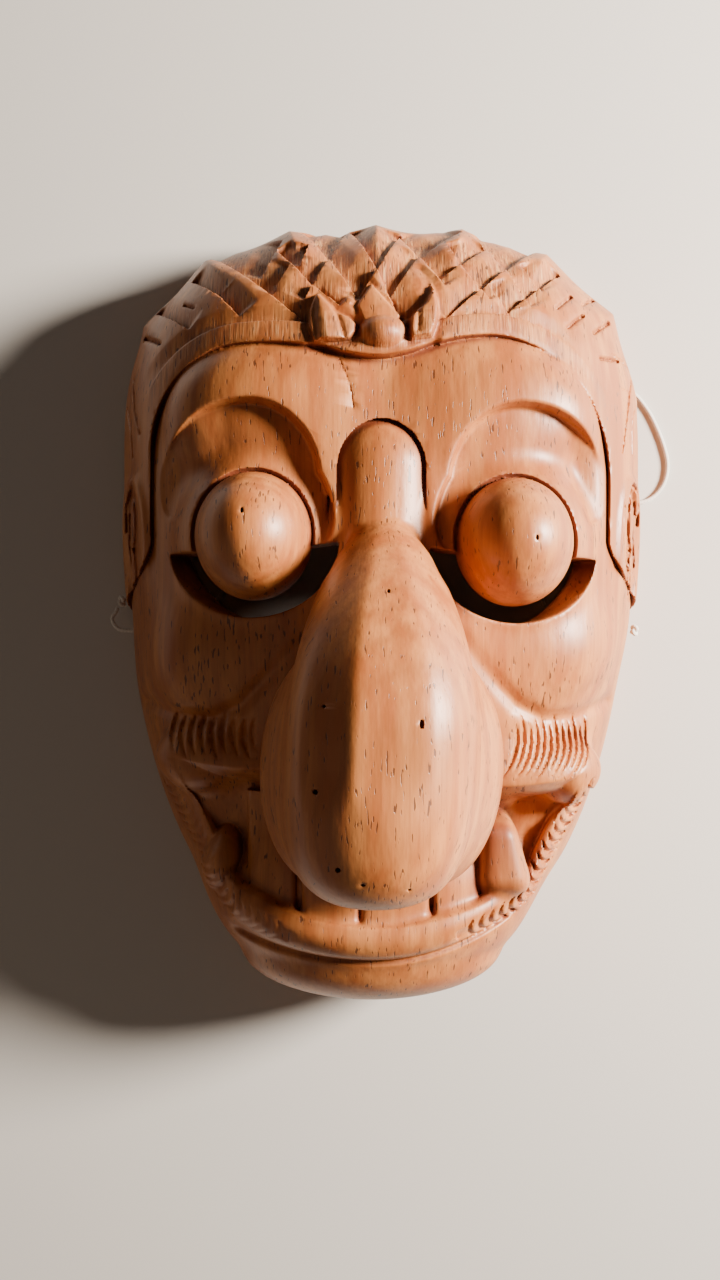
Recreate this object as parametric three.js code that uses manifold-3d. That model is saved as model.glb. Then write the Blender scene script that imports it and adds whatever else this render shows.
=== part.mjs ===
// A carved wooden face mask lying face up on its rim, with the elastic cord that holds it on.
// Millimetres. X runs to the right of the face as it is seen, Y to the crown, Z out of the face.
// The wood is one carving: its form is written as a depth below the surface (negative in the
// wood, positive in the air), from which one closed faceted solid is drawn and then thinned.
import * as THREE from 'three';
import { mergeVertices } from 'three/addons/utils/BufferGeometryUtils.js';
import Module from 'manifold-3d';

const { clamp, lerp, smoothstep, radToDeg } = THREE.MathUtils;

// The carving is drawn about the nose's root, and moved so that its outline's middle is at y = 0.
const MIDDLE_Y = 1.66;

// Outside and hollow of the mask: a squared dome, widest across the line y = WIDEST_Y, with more
// room behind the nose. The jaw leans a little to the left, and the chin a little more.
const WIDEST_Y = 45;
const OUTSIDE = { halfWidth: 79.8, crown: 72, chin: 156, height: 63 };
const HOLLOW = { halfWidth: 71.6, crown: 64, chin: 148, height: 50 };
const DOME_POWER = { up: 2.9, down: 2.3, across: 2.55, out: 2.2, round: 2.4 };
const NOSE_ROOM = { at: [0, -18, 42], radii: [14, 26, 24], blend: 6 };
const JAW_LEAN = { far: 1.2, from: 0, to: 25 };
const CHIN_LEAN = { far: 2.2, from: 72, to: 100 };
const RIM_ARCH = { y: 52, height: 3, radius: 206 };
const CORD_HOLE = { y: -5.5, z: 8, radius: 1.6 };

// Hairline, the hair that stands proud of the face, and the shallow cove along it.
const HAIRLINE = {
  left: { halfWidth: 66, corner: 27, top: 72.2 },
  right: { halfWidth: 64, corner: 37, top: 74.3 },
  blend: 20,
  dip: 5.5,
  dipWidth: 17,
  ears: { halfWidth: 79, from: 20, to: -2 },
};
const HAIR_RELIEF = { height: 2.6, low: [-14, 20], sideShare: 0.2, side: [38, 66] };
const HAIR_COVE = { depth: 0.9, width: 4, from: 30, to: 62 };
const HAIR_EDGE = { slope: 1.2, out: 0.1, lean: 0.12 };

// A plain band along the hairline, lozenges in a fan above it, and points along the crown's edge.
const HAIR_BAND = { width: 6, height: 0.6, edge: 0.4 };
const LOZENGE = {
  fanY: 20,
  middle: 60,
  turn: 12,
  slope: 0.8,
  height: 0.6,
  depth: 2.4,
  ramp: 0.8,
  step: 0.12,
};
const HAIR_FADE = { y: [22, 36], z: [8, 20] };
const CROWN_POINTS = { turn: 15.4, first: -1.1, relief: 1.5, past: [16, 30], z: [0, 12] };

// Flower over the middle of the forehead: a boss, and petals that are highest along their ribs.
const BOSS = { at: [0, 72, 58], radii: [6.3, 5.2, 7.8] };
const PETALS = [
  {
    outline: [[-18.8, 85.8], [-21, 79.5], [-19.5, 71.5], [-17.6, 68.6], [-9, 68], [-6, 72], [-13.6, 82]],
    rib: [[-18.6, 85.5], [-14, 77], [-10, 69]],
    height: 3.2,
    fall: 0.2,
  },
  {
    outline: [[9.2, 93.4], [15.4, 82.5], [16.2, 76.5], [14.2, 70.4], [6, 69.2], [5.4, 77], [12, 84]],
    rib: [[9.4, 93], [12.4, 84], [8.5, 76.5]],
    height: 3.4,
    fall: 0.17,
  },
  {
    outline: [[-7.6, 81.6], [-2.2, 89], [4.4, 78.6], [3, 74], [-5, 74]],
    rib: [[-2.2, 88.6], [-0.6, 75]],
    height: 2.3,
    fall: 0.2,
  },
];
const PETAL = { lowestY: 62, lean: 0.25, tip: 0.8, tipLength: 9, moat: 1.3, moatWidth: 2.2 };

// Brows, the lump between them, lids, eyeballs and the slits to see through.
const FOREHEAD = { at: [30, 55, 44], radii: [30, 22, 18.5], blend: 9 };
const BROW = {
  x: 37.5,
  y: { left: 34.7, right: 33.5 },
  inner: 20.5,
  outer: 25,
  height: 21.8,
  step: 4.2,
  slope: 0.9,
  lean: 0.25,
  low: [14, 32],
  hair: [1, 12],
};
const LUMP = { at: [-0.7, 38.3, 53], radii: [13.4, 13.6, 12.5], footY: 14, blend: 1.2 };
const LUMP_CREASE = { width: 1.8, depth: 2.4, from: 26, to: 40 };
const EYE = {
  x: 35.3,
  y: { left: 19.6, right: 18 },
  ballZ: 55.5,
  ball: [15.9, 17.4, 22.5],
  lidZ: 45,
  lid: [23, 25, 20],
  lidBlend: 5,
  gap: 1.5,
  gapDepth: 1.6,
};
const SLIT = { x: 0.8, y: -1.6, radii: [24, 20.4], topY: -4.6, inward: -0.12, outward: 0.02 };

// Nose: a long pear from its apex down, flat in front and on its left flank, with broad wings.
const NOSE = {
  apexY: 24.3,
  length: 58,
  halfWidth: 24,
  drop: 42,
  swell: 1.85,
  point: 0.6,
  x: -1,
  rootZ: 61,
  tipZ: 84.5,
  power: [1.65, 2.1],
  powerShare: [0.1, 0.9],
  steepest: 2.5,
  front: { x: 0.06, z: 1, height: 0.945 },
  flank: { x: -0.56, z: 0.83, height: 0.9635 },
  edge: 1,
  blend: 2.6,
};
const WING = { x: 0.5, at: [15.5, -40, 65], radii: [16.5, 29, 19], blend: 8 };
const NOSTRIL = { at: [13, -66, 60], radii: [5, 9, 7], blend: 2 };

// Cheeks, the folds under them and the upper lip.
const CHEEK = { at: [43, -11, 33], radii: [22.5, 21, 21], blend: 8 };
const FOLD = {
  line: [[21, -8], [30, -18], [38, -26.5], [46, -30.4], [56, -30], [68, -26.5]],
  depth: 1.8,
  width: 2.2,
};
const LIP_PAD = { x: 38, y: { left: -41.5, right: -45.5 }, z: 37, radii: [26, 14, 16], blend: 4 };

// The open mouth: deep under the upper lip, shallow over the gums, and closing at its corners.
const MOUTH = {
  topY: { left: -44.3, right: -49.3 },
  topRise: 3.5,
  halfWidth: 58,
  taper: 0.47,
  bottomY: -87.5,
  bottomRise: 7.5,
  bottomReach: 34,
  sideSlope: 0.9,
  rounding: 5,
  edge: 1,
  depth: 11,
  gumDepth: 5.5,
  gum: [-76, -64],
  corner: [36, 58],
  lean: 0.8,
};
const SIDES_MEET = 22;
const POCKET = { at: [42, -59, 45], radii: [8, 7.5, 10] };
const MUZZLE = { at: [-3, -76, 21], radii: [50, 38, 38.5], blend: 8 };
const LIP_BAND = { radius: 3, out: 2.6, sunk: 2, squash: 1.2, blend: 1.2 };
const LIP_BAND_END = { x: 30, y: -50, slope: 0.5 };
const LOWER_LIP = {
  y: -91.8,
  rise: { left: 10, right: 15.5 },
  halfWidth: 40,
  radius: 4.6,
  sunk: 1.7,
  squash: 0.75,
  endSlope: 0.4,
  blend: 2.5,
};
const CHIN = { at: [-3, -100, 25], radii: [38, 13.6, 25], blend: 3 };
const CHIN_CREASE = { y: -96.8, rise: { left: 7, right: 13 }, halfWidth: 42, depth: 1.4, width: 1.2 };

// Teeth: x, lower end, half width, and how far below the lips' surface their fronts lie.
const TEETH = [
  { x: -14.6, bottom: -90, halfWidth: 7.8, sunk: 1.5 },
  { x: 3.2, bottom: -90, halfWidth: 9.1, sunk: 1.5 },
  { x: -31.3, bottom: -88, halfWidth: 6.4, sunk: 2.6 },
  { x: 20.6, bottom: -87, halfWidth: 5.4, sunk: 2 },
];
const TOOTH = { top: 7, bow: 0.5, corner: 1.6, cornerShare: 0.75 };
const TUSKS = [
  { at: [33.2, -67.8, 35.5], radii: [8.5, 12.8, 15.5], lean: 0.05 },
  { at: [-45.5, -71, 30.5], radii: [7.2, 10.5, 15], lean: 0.15 },
];
const TUSK = { taper: 0.03, blend: 0.8 };

const EAR = { x: 73.5, y: 18, radii: [5, 20], relief: 1.1, rim: 1.6 };
const EAR_HOLLOW = { share: 0.7, at: -4, width: 1.8 };

// Cord: round white elastic, and its knots outside the two holes.
const CORD = { radius: 0.65, z: 0.8, sides: 8, steps: 78 };
const KNOT = { radius: 2.1, gap: 0.5, loop: 9.2, drop: 2.2 };

// How finely the carving is drawn, and how many triangles it is thinned to.
const CELL = 1.6;
const BOX = { min: [-84, -124, -3], max: [84, 124, 114] };
const UNDERSIDE_Z = -2.1;
const MASK_TRIANGLES = 8000;

const WOOD = new THREE.MeshStandardMaterial({ color: 0xc48e58, roughness: 0.5, metalness: 0 });
const ELASTIC = new THREE.MeshStandardMaterial({ color: 0xe6e1da, roughness: 0.85, metalness: 0 });

// Smooth join of two forms, over a width.
function join(a, b, width) {
  const near = Math.max(width - Math.abs(a - b), 0) / width;
  return Math.min(a, b) - near * near * width * 0.25;
}

// Takes form b away from form a, with a smooth edge.
function cut(a, b, width) {
  return -join(-a, b, width);
}

// Lowers the surface by depth wherever the plan measure is negative, with a steep wall.
function sink(form, plan, depth) {
  return Math.max(form, Math.min(-plan, form + depth));
}

function bell(value, width) {
  return Math.exp(-((value / width) ** 2));
}

// One value on the left of the face and another on the right, with a soft change between.
function bySide(x, { left, right }) {
  return lerp(left, right, smoothstep(x, -SIDES_MEET, SIDES_MEET));
}

function ellipsoid(x, y, z, at, radii) {
  const px = (x - at[0]) / radii[0];
  const py = (y - at[1]) / radii[1];
  const pz = (z - at[2]) / radii[2];
  const near = Math.hypot(px, py, pz);
  const slope = Math.hypot(px / radii[0], py / radii[1], pz / radii[2]);
  return slope > 1e-9 ? (near * (near - 1)) / slope : -Math.min(...radii);
}

function ellipse(x, y, [radiusX, radiusY]) {
  const near = Math.hypot(x / radiusX, y / radiusY);
  const slope = Math.hypot(x / radiusX ** 2, y / radiusY ** 2);
  return slope > 1e-9 ? (near * (near - 1)) / slope : -Math.min(radiusX, radiusY);
}

// Distance in plan from a point to a broken line, and the length run along it to there.
function fromLine(x, y, points) {
  let away = Infinity;
  let along = 0;
  let done = 0;
  for (let i = 1; i < points.length; i += 1) {
    const [ax, ay] = points[i - 1];
    const [bx, by] = points[i];
    const lx = bx - ax;
    const ly = by - ay;
    const share = clamp(((x - ax) * lx + (y - ay) * ly) / (lx * lx + ly * ly), 0, 1);
    const distance = Math.hypot(x - ax - share * lx, y - ay - share * ly);
    if (distance < away) {
      away = distance;
      along = done + share * Math.hypot(lx, ly);
    }
    done += Math.hypot(lx, ly);
  }
  return { away, along };
}

// Distance in plan to a closed outline: negative inside it.
function insideOutline(x, y, points) {
  const ring = [...points, points[0]];
  let inside = false;
  for (let i = 1; i < ring.length; i += 1) {
    const [ax, ay] = ring[i - 1];
    const [bx, by] = ring[i];
    if (ay > y !== by > y && x < ax + ((bx - ax) * (y - ay)) / (by - ay)) inside = !inside;
  }
  const { away } = fromLine(x, y, ring);
  return inside ? -away : away;
}

// The squared dome that both the outside and the hollow follow.
function dome(x, y, z, size) {
  const along = y > WIDEST_Y
    ? ((y - WIDEST_Y) / size.crown) ** DOME_POWER.up
    : ((WIDEST_Y - y) / size.chin) ** DOME_POWER.down;
  const across = (Math.abs(x) / size.halfWidth) ** DOME_POWER.across;
  const out = (Math.abs(z) / size.height) ** DOME_POWER.out;
  const sum = Math.max(across + along + out, 1e-6);
  return Math.hypot(x, y - WIDEST_Y, z) * (1 - sum ** (-1 / DOME_POWER.round));
}

function leaned(x, y) {
  const jaw = JAW_LEAN.far * smoothstep(-y, JAW_LEAN.from, JAW_LEAN.to);
  return x + jaw + CHIN_LEAN.far * smoothstep(-y, CHIN_LEAN.from, CHIN_LEAN.to);
}

// Distance in plan past the hairline: positive in the hair, negative on the face.
function pastHairline(x, y) {
  const side = x < 0 ? HAIRLINE.left : HAIRLINE.right;
  const share = smoothstep(x, -HAIRLINE.blend, HAIRLINE.blend);
  const low = 1 - smoothstep(y, HAIRLINE.ears.to, HAIRLINE.ears.from);
  const half = lerp(side.halfWidth, HAIRLINE.ears.halfWidth, low);
  const dip = HAIRLINE.dip * bell(x, HAIRLINE.dipWidth);
  const top = lerp(HAIRLINE.left.top, HAIRLINE.right.top, share) - dip;
  const qx = Math.abs(x) - (half - side.corner);
  const qy = y - (top - side.corner);
  const corner = Math.hypot(Math.max(qx, 0), Math.max(qy, 0));
  return corner + Math.min(Math.max(qx, qy), 0) - side.corner;
}

// How deep a lozenge is pared down across one of its two directions: deepest just above a cut,
// then rising to the next cut.
function pared(cuts) {
  const share = cuts - Math.floor(cuts);
  return share > 1 - LOZENGE.step
    ? (share - 1 + LOZENGE.step) / LOZENGE.step
    : Math.max(1 - share / LOZENGE.ramp, 0);
}

// Height of the hair over the face: a plain band, then lozenges between two families of cuts,
// and points along the crown's edge.
function hairHeight(x, y, z, past) {
  const turn = radToDeg(Math.atan2(x, y - LOZENGE.fanY));
  const far = Math.hypot(x, y - LOZENGE.fanY) / LOZENGE.middle;
  const twist = radToDeg(Math.log(far)) * LOZENGE.slope;
  const rising = pared((twist + turn) / LOZENGE.turn);
  const falling = pared((twist - turn) / LOZENGE.turn);
  const lozenge = LOZENGE.height - LOZENGE.depth * Math.max(rising, falling);
  const lattice = smoothstep(past, HAIR_BAND.width - HAIR_BAND.edge, HAIR_BAND.width + HAIR_BAND.edge);
  const shown = smoothstep(z, ...HAIR_FADE.z);
  const wave = Math.sin((Math.PI * (turn - CROWN_POINTS.first)) / CROWN_POINTS.turn);
  const rim = smoothstep(past, ...CROWN_POINTS.past) * smoothstep(z, ...CROWN_POINTS.z);
  const edge = CROWN_POINTS.relief * (1 - Math.abs(wave)) * rim;
  const fade = smoothstep(y, ...HAIR_FADE.y);
  return HAIR_BAND.height * (1 - lattice) + (lozenge * lattice * shown + edge) * fade;
}

// The flower in the hair: each petal has a shallow moat round it.
function flower(x, y, z, shell, form) {
  const edges = PETALS.map(({ outline }) => insideOutline(x, y, outline));
  let out = form;
  for (const edge of edges) {
    out += PETAL.moat * clamp(1 - edge / PETAL.moatWidth, 0, 1);
  }
  out = Math.min(out, ellipsoid(x, y, z, BOSS.at, BOSS.radii));
  PETALS.forEach(({ rib, height, fall }, i) => {
    const { away, along } = fromLine(x, y, rib);
    const tip = lerp(PETAL.tip, 1, smoothstep(along, 0, PETAL.tipLength));
    const top = (height - fall * away) * tip;
    out = Math.min(out, Math.max(edges[i] + PETAL.lean * (shell + top), shell - top));
  });
  return out;
}

function browStep(form, x, y, side) {
  const bx = x * side - BROW.x;
  const by = y - (side < 0 ? BROW.y.left : BROW.y.right);
  const plan = ellipse(bx, by, [bx < 0 ? BROW.inner : BROW.outer, BROW.height]);
  const depth = BROW.step * smoothstep(y, ...BROW.low) * smoothstep(-pastHairline(x, y), ...BROW.hair);
  return Math.max(form, Math.min(form + depth, BROW.lean * form - BROW.slope * plan));
}

// The place of one eye's middle. side is -1 for the left one in view and 1 for the right.
function eyeAt(side, z) {
  return [side * EYE.x, side < 0 ? EYE.y.left : EYE.y.right, z];
}

// The slit through the wood below the eyeball, the ball in it and a crease round the ball.
function slitAndBall(form, x, y, z, side) {
  const at = eyeAt(side, EYE.ballZ);
  const ex = (x - at[0]) * side;
  const ey = y - at[1];
  const topEdge = SLIT.topY + (ex < 0 ? SLIT.inward : SLIT.outward) * ex;
  const plan = Math.max(ellipse(ex - SLIT.x, ey - SLIT.y, SLIT.radii), ey - topEdge);
  const ball = ellipsoid(x, y, z, at, EYE.ball);
  const creased = form + EYE.gapDepth * clamp(1 - ball / EYE.gap, 0, 1);
  return Math.min(Math.max(creased, -plan), ball);
}

// Half width of the nose at a distance down from its apex.
function noseHalfWidth(down) {
  const share = clamp(down / NOSE.length, 0, 1);
  const pear = (1 - (1 - share) ** NOSE.swell) ** NOSE.point;
  const past = Math.max(down - NOSE.length, 0) / NOSE.drop;
  return NOSE.halfWidth * pear * Math.sqrt(Math.max(1 - past * past, 0));
}

function nose(x, y, z) {
  const down = NOSE.apexY - y;
  const share = clamp(down / NOSE.length, 0, 1);
  const half = noseHalfWidth(down);
  const flare = noseHalfWidth(down + 0.5) - noseHalfWidth(down - 0.5);
  const across = x - NOSE.x * share;
  const above = z - lerp(NOSE.rootZ, NOSE.tipZ, share * (2 - share));
  const beyond = Math.max(-down, down - NOSE.length - NOSE.drop, 0);
  const power = lerp(...NOSE.power, smoothstep(share, ...NOSE.powerShare));
  const reach = (Math.abs(across) ** power + Math.abs(above) ** power + beyond ** power) ** (1 / power);
  let form = (reach - half) / Math.hypot(1, clamp(flare, -NOSE.steepest, NOSE.steepest));
  form = join(form, ellipsoid(Math.abs(x + WING.x), y, z, WING.at, WING.radii), WING.blend);
  for (const plane of [NOSE.front, NOSE.flank]) {
    form = cut(form, plane.height * half - plane.x * across - plane.z * above, NOSE.edge);
  }
  return form;
}

function mouthTop(x) {
  return bySide(x, MOUTH.topY) + MOUTH.topRise * (x / MOUTH.halfWidth) ** 4;
}

// Plan of the open mouth: negative inside it. Its upper wall slopes in under the lip.
function mouthPlan(x, y, skin) {
  const down = mouthTop(x) - y;
  const side = MOUTH.sideSlope * (Math.abs(x) - MOUTH.halfWidth + MOUTH.taper * down);
  const bottom = MOUTH.bottomY + MOUTH.bottomRise * Math.min(Math.abs(x) / MOUTH.bottomReach, 1) ** 2;
  const plan = cut(side, y - bottom, MOUTH.rounding);
  return cut(plan, down + MOUTH.lean * Math.min(skin, 0), MOUTH.edge);
}

function teeth(x, y, skin) {
  let form = Infinity;
  for (const tooth of TEETH) {
    const side = Math.abs(x - tooth.x) / tooth.halfWidth;
    const plan = Math.max((side - 1) * tooth.halfWidth, tooth.bottom - y, y - mouthTop(x) + TOOTH.top);
    const cornered = Math.max(side - TOOTH.cornerShare, 0) / (1 - TOOTH.cornerShare);
    const front = tooth.sunk + TOOTH.bow * side ** 2 + TOOTH.corner * cornered ** 2;
    form = Math.min(form, Math.max(plan, skin + front));
  }
  return form;
}

function ear(x, y) {
  const plan = ellipse(Math.abs(x) - EAR.x, y - EAR.y, EAR.radii);
  const sunk = EAR_HOLLOW.share * bell(plan - EAR_HOLLOW.at, EAR_HOLLOW.width);
  return EAR.relief * (bell(plan, EAR.rim) - sunk);
}

// The mouth sunk into the face, with its teeth, tusks, lips and chin.
function mouthAndChin(face, x, xs, y, z) {
  const open = mouthPlan(xs, y, face);
  const closing = 1 - smoothstep(Math.abs(xs), ...MOUTH.corner);
  const depth = lerp(MOUTH.gumDepth, MOUTH.depth, smoothstep(y, ...MOUTH.gum)) * closing;
  let form = sink(face, open, depth);
  form = Math.min(form, teeth(x, y, face));
  form = Math.max(form, Math.min(-ellipsoid(x, y, z, POCKET.at, POCKET.radii), -open));
  for (const { at, radii, lean } of TUSKS) {
    const up = y - at[1];
    const across = (x - at[0] - lean * up) * (1 + TUSK.taper * Math.max(up, 0));
    form = join(form, ellipsoid(across, up, z - at[2], [0, 0, 0], radii), TUSK.blend);
  }
  const band = Math.hypot(open - LIP_BAND.out, (face + LIP_BAND.sunk) * LIP_BAND.squash) - LIP_BAND.radius;
  const bandEnd = LIP_BAND_END.slope * Math.max(LIP_BAND_END.x - Math.abs(xs), y - LIP_BAND_END.y);
  form = join(form, Math.max(band, bandEnd), LIP_BAND.blend);
  const rise = xs < 0 ? LOWER_LIP.rise.left : LOWER_LIP.rise.right;
  const lipY = LOWER_LIP.y + rise * (xs / LOWER_LIP.halfWidth) ** 2;
  const lip = Math.hypot((y - lipY) * LOWER_LIP.squash, face + LOWER_LIP.sunk) - LOWER_LIP.radius;
  const lipEnd = (Math.abs(xs) - LOWER_LIP.halfWidth) * LOWER_LIP.endSlope;
  form = join(form, Math.max(lip, lipEnd), LOWER_LIP.blend);
  form = join(form, ellipsoid(x, y, z, CHIN.at, CHIN.radii), CHIN.blend);
  const creaseRise = xs < 0 ? CHIN_CREASE.rise.left : CHIN_CREASE.rise.right;
  const creaseY = CHIN_CREASE.y + creaseRise * (xs / CHIN_CREASE.halfWidth) ** 2;
  const creased = Math.abs(xs) < CHIN_CREASE.halfWidth ? bell(y - creaseY, CHIN_CREASE.width) : 0;
  return form + CHIN_CREASE.depth * creased;
}

// The whole face in front of the hollow.
function face(x, y, z) {
  const xs = leaned(x, y);
  const past = pastHairline(x, y);
  const shell = dome(xs, y, z, OUTSIDE);

  // The face lies lower than the hair, and its soft forms are joined to it.
  const relief = lerp(HAIR_RELIEF.sideShare, 1, smoothstep(y, ...HAIR_RELIEF.side));
  let form = shell + HAIR_RELIEF.height * smoothstep(y, ...HAIR_RELIEF.low) * relief;
  form = join(form, ellipsoid(Math.abs(x), y, z, FOREHEAD.at, FOREHEAD.radii), FOREHEAD.blend);
  form = join(form, ellipsoid(x, y, z, MUZZLE.at, MUZZLE.radii), MUZZLE.blend);
  form = join(form, ellipsoid(Math.abs(xs), y, z, CHEEK.at, CHEEK.radii), CHEEK.blend);
  const padAt = [LIP_PAD.x, bySide(x, LIP_PAD.y), LIP_PAD.z];
  form = join(form, ellipsoid(Math.abs(xs), y, z, padAt, LIP_PAD.radii), LIP_PAD.blend);
  form += FOLD.depth * bell(fromLine(Math.abs(xs), y, FOLD.line).away, FOLD.width);
  for (const side of [-1, 1]) {
    form = browStep(form, x, y, side);
    form = join(form, ellipsoid(x, y, z, eyeAt(side, EYE.lidZ), EYE.lid), EYE.lidBlend);
  }
  form += HAIR_COVE.depth * bell(past, HAIR_COVE.width) * smoothstep(y, HAIR_COVE.from, HAIR_COVE.to);

  // The lump between the brows is drawn down into a column, with a crease round its top.
  const upright = y - clamp(y, LUMP.footY, LUMP.at[1]) + LUMP.at[1];
  const lump = ellipsoid(x, upright, z, LUMP.at, LUMP.radii);
  const crease = LUMP_CREASE.depth * smoothstep(y, LUMP_CREASE.from, LUMP_CREASE.to);
  form = Math.max(form, Math.min(LUMP_CREASE.width - lump, form + crease));
  form = join(form, lump, LUMP.blend);

  form = mouthAndChin(form, x, xs, y, z);

  // Hair, flower and ears stand on the shell outside the hairline.
  const hairEdge = HAIR_EDGE.lean * shell - HAIR_EDGE.slope * past - HAIR_EDGE.out;
  form = Math.min(form, Math.max(shell - hairHeight(x, y, z, past) - ear(x, y), hairEdge));
  form = y > PETAL.lowestY ? flower(x, y, z, shell, form) : form;

  form = join(form, nose(x, y, z), NOSE.blend);
  form = cut(form, ellipsoid(Math.abs(x), y, z, NOSTRIL.at, NOSTRIL.radii), NOSTRIL.blend);
  for (const side of [-1, 1]) {
    form = slitAndBall(form, x, y, z, side);
  }
  return form;
}

function hollow(x, y, z) {
  const room = ellipsoid(x, y, z, NOSE_ROOM.at, NOSE_ROOM.radii);
  return join(dome(leaned(x, y), y, z, HOLLOW), room, NOSE_ROOM.blend);
}

function wood(x, y, z) {
  return Math.max(face(x, y, z), -hollow(x, y, z), UNDERSIDE_Z - z);
}

// Draws the surface where the form is zero: each grid cell is parted into six tetrahedra that
// share its long diagonal, so neighbours always agree and the surface is closed.
function polygonise(field, box, cell) {
  const count = [0, 1, 2].map((i) => Math.ceil((box.max[i] - box.min[i]) / cell) + 1);
  const [nx, ny, nz] = count;
  const values = new Float64Array(nx * ny * nz);
  const step = [1, nx, nx * ny];
  for (let k = 0; k < nz; k += 1) {
    for (let j = 0; j < ny; j += 1) {
      for (let i = 0; i < nx; i += 1) {
        const value = field(box.min[0] + i * cell, box.min[1] + j * cell, box.min[2] + k * cell);
        values[i + j * nx + k * step[2]] = Math.abs(value) < 0.01 ? 0.01 : value;
      }
    }
  }
  const place = (index) => {
    const i = index % nx;
    const j = Math.floor(index / nx) % ny;
    const k = Math.floor(index / step[2]);
    return [box.min[0] + i * cell, box.min[1] + j * cell, box.min[2] + k * cell];
  };
  const points = [];
  const crossings = new Map();
  const crossing = (a, b) => {
    const [low, high] = a < b ? [a, b] : [b, a];
    const key = low * 8 + [1, nx, step[2], 1 + nx, 1 + step[2], nx + step[2]].indexOf(high - low) + 1;
    let found = crossings.get(key);
    if (found === undefined) {
      const share = values[low] / (values[low] - values[high]);
      const p = place(low);
      const q = place(high);
      found = points.length / 3;
      points.push(lerp(p[0], q[0], share), lerp(p[1], q[1], share), lerp(p[2], q[2], share));
      crossings.set(key, found);
    }
    return found;
  };
  const faces = [];
  const emit = (inside, outside) => {
    // One or three corners inside give a triangle, two give a square of two triangles.
    let loop;
    if (inside.length === 2) {
      const [a, b] = inside;
      const [c, d] = outside;
      loop = [crossing(a, c), crossing(a, d), crossing(b, d), crossing(b, c)];
    } else if (inside.length === 1) {
      loop = outside.map((other) => crossing(inside[0], other));
    } else {
      loop = inside.map((other) => crossing(other, outside[0]));
    }
    const at = (v) => points.slice(v * 3, v * 3 + 3);
    const [p, q, r] = [at(loop[0]), at(loop[1]), at(loop[2])];
    const u = [q[0] - p[0], q[1] - p[1], q[2] - p[2]];
    const v = [r[0] - p[0], r[1] - p[1], r[2] - p[2]];
    const normal = [u[1] * v[2] - u[2] * v[1], u[2] * v[0] - u[0] * v[2], u[0] * v[1] - u[1] * v[0]];
    const from = place(inside[0]);
    const to = place(outside[0]);
    const outward = normal[0] * (to[0] - from[0]) + normal[1] * (to[1] - from[1])
      + normal[2] * (to[2] - from[2]);
    const ring = outward > 0 ? loop : loop.reverse();
    for (let i = 2; i < ring.length; i += 1) {
      faces.push(ring[0], ring[i - 1], ring[i]);
    }
  };
  const paths = [[0, 1], [0, 2], [1, 0], [1, 2], [2, 0], [2, 1]];
  for (let k = 0; k < nz - 1; k += 1) {
    for (let j = 0; j < ny - 1; j += 1) {
      for (let i = 0; i < nx - 1; i += 1) {
        const base = i + j * nx + k * step[2];
        const top = base + step[0] + step[1] + step[2];
        for (const [first, second] of paths) {
          const corners = [base, base + step[first], base + step[first] + step[second], top];
          const inside = corners.filter((c) => values[c] < 0);
          if (inside.length > 0 && inside.length < 4) {
            emit(inside, corners.filter((c) => values[c] >= 0));
          }
        }
      }
    }
  }
  return { points, faces };
}

// A heap of the edges that cost least to close up.
class EdgeHeap {
  constructor() {
    this.items = [];
  }

  push(item) {
    const { items } = this;
    let i = items.length;
    items.push(item);
    while (i > 0) {
      const parent = (i - 1) >> 1;
      if (items[parent].cost <= item.cost) break;
      items[i] = items[parent];
      i = parent;
    }
    items[i] = item;
  }

  pop() {
    const { items } = this;
    const first = items[0];
    const last = items.pop();
    if (items.length === 0) return first;
    let i = 0;
    for (;;) {
      let child = 2 * i + 1;
      if (child >= items.length) break;
      if (child + 1 < items.length && items[child + 1].cost < items[child].cost) child += 1;
      if (items[child].cost >= last.cost) break;
      items[i] = items[child];
      i = child;
    }
    items[i] = last;
    return first;
  }
}

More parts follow.
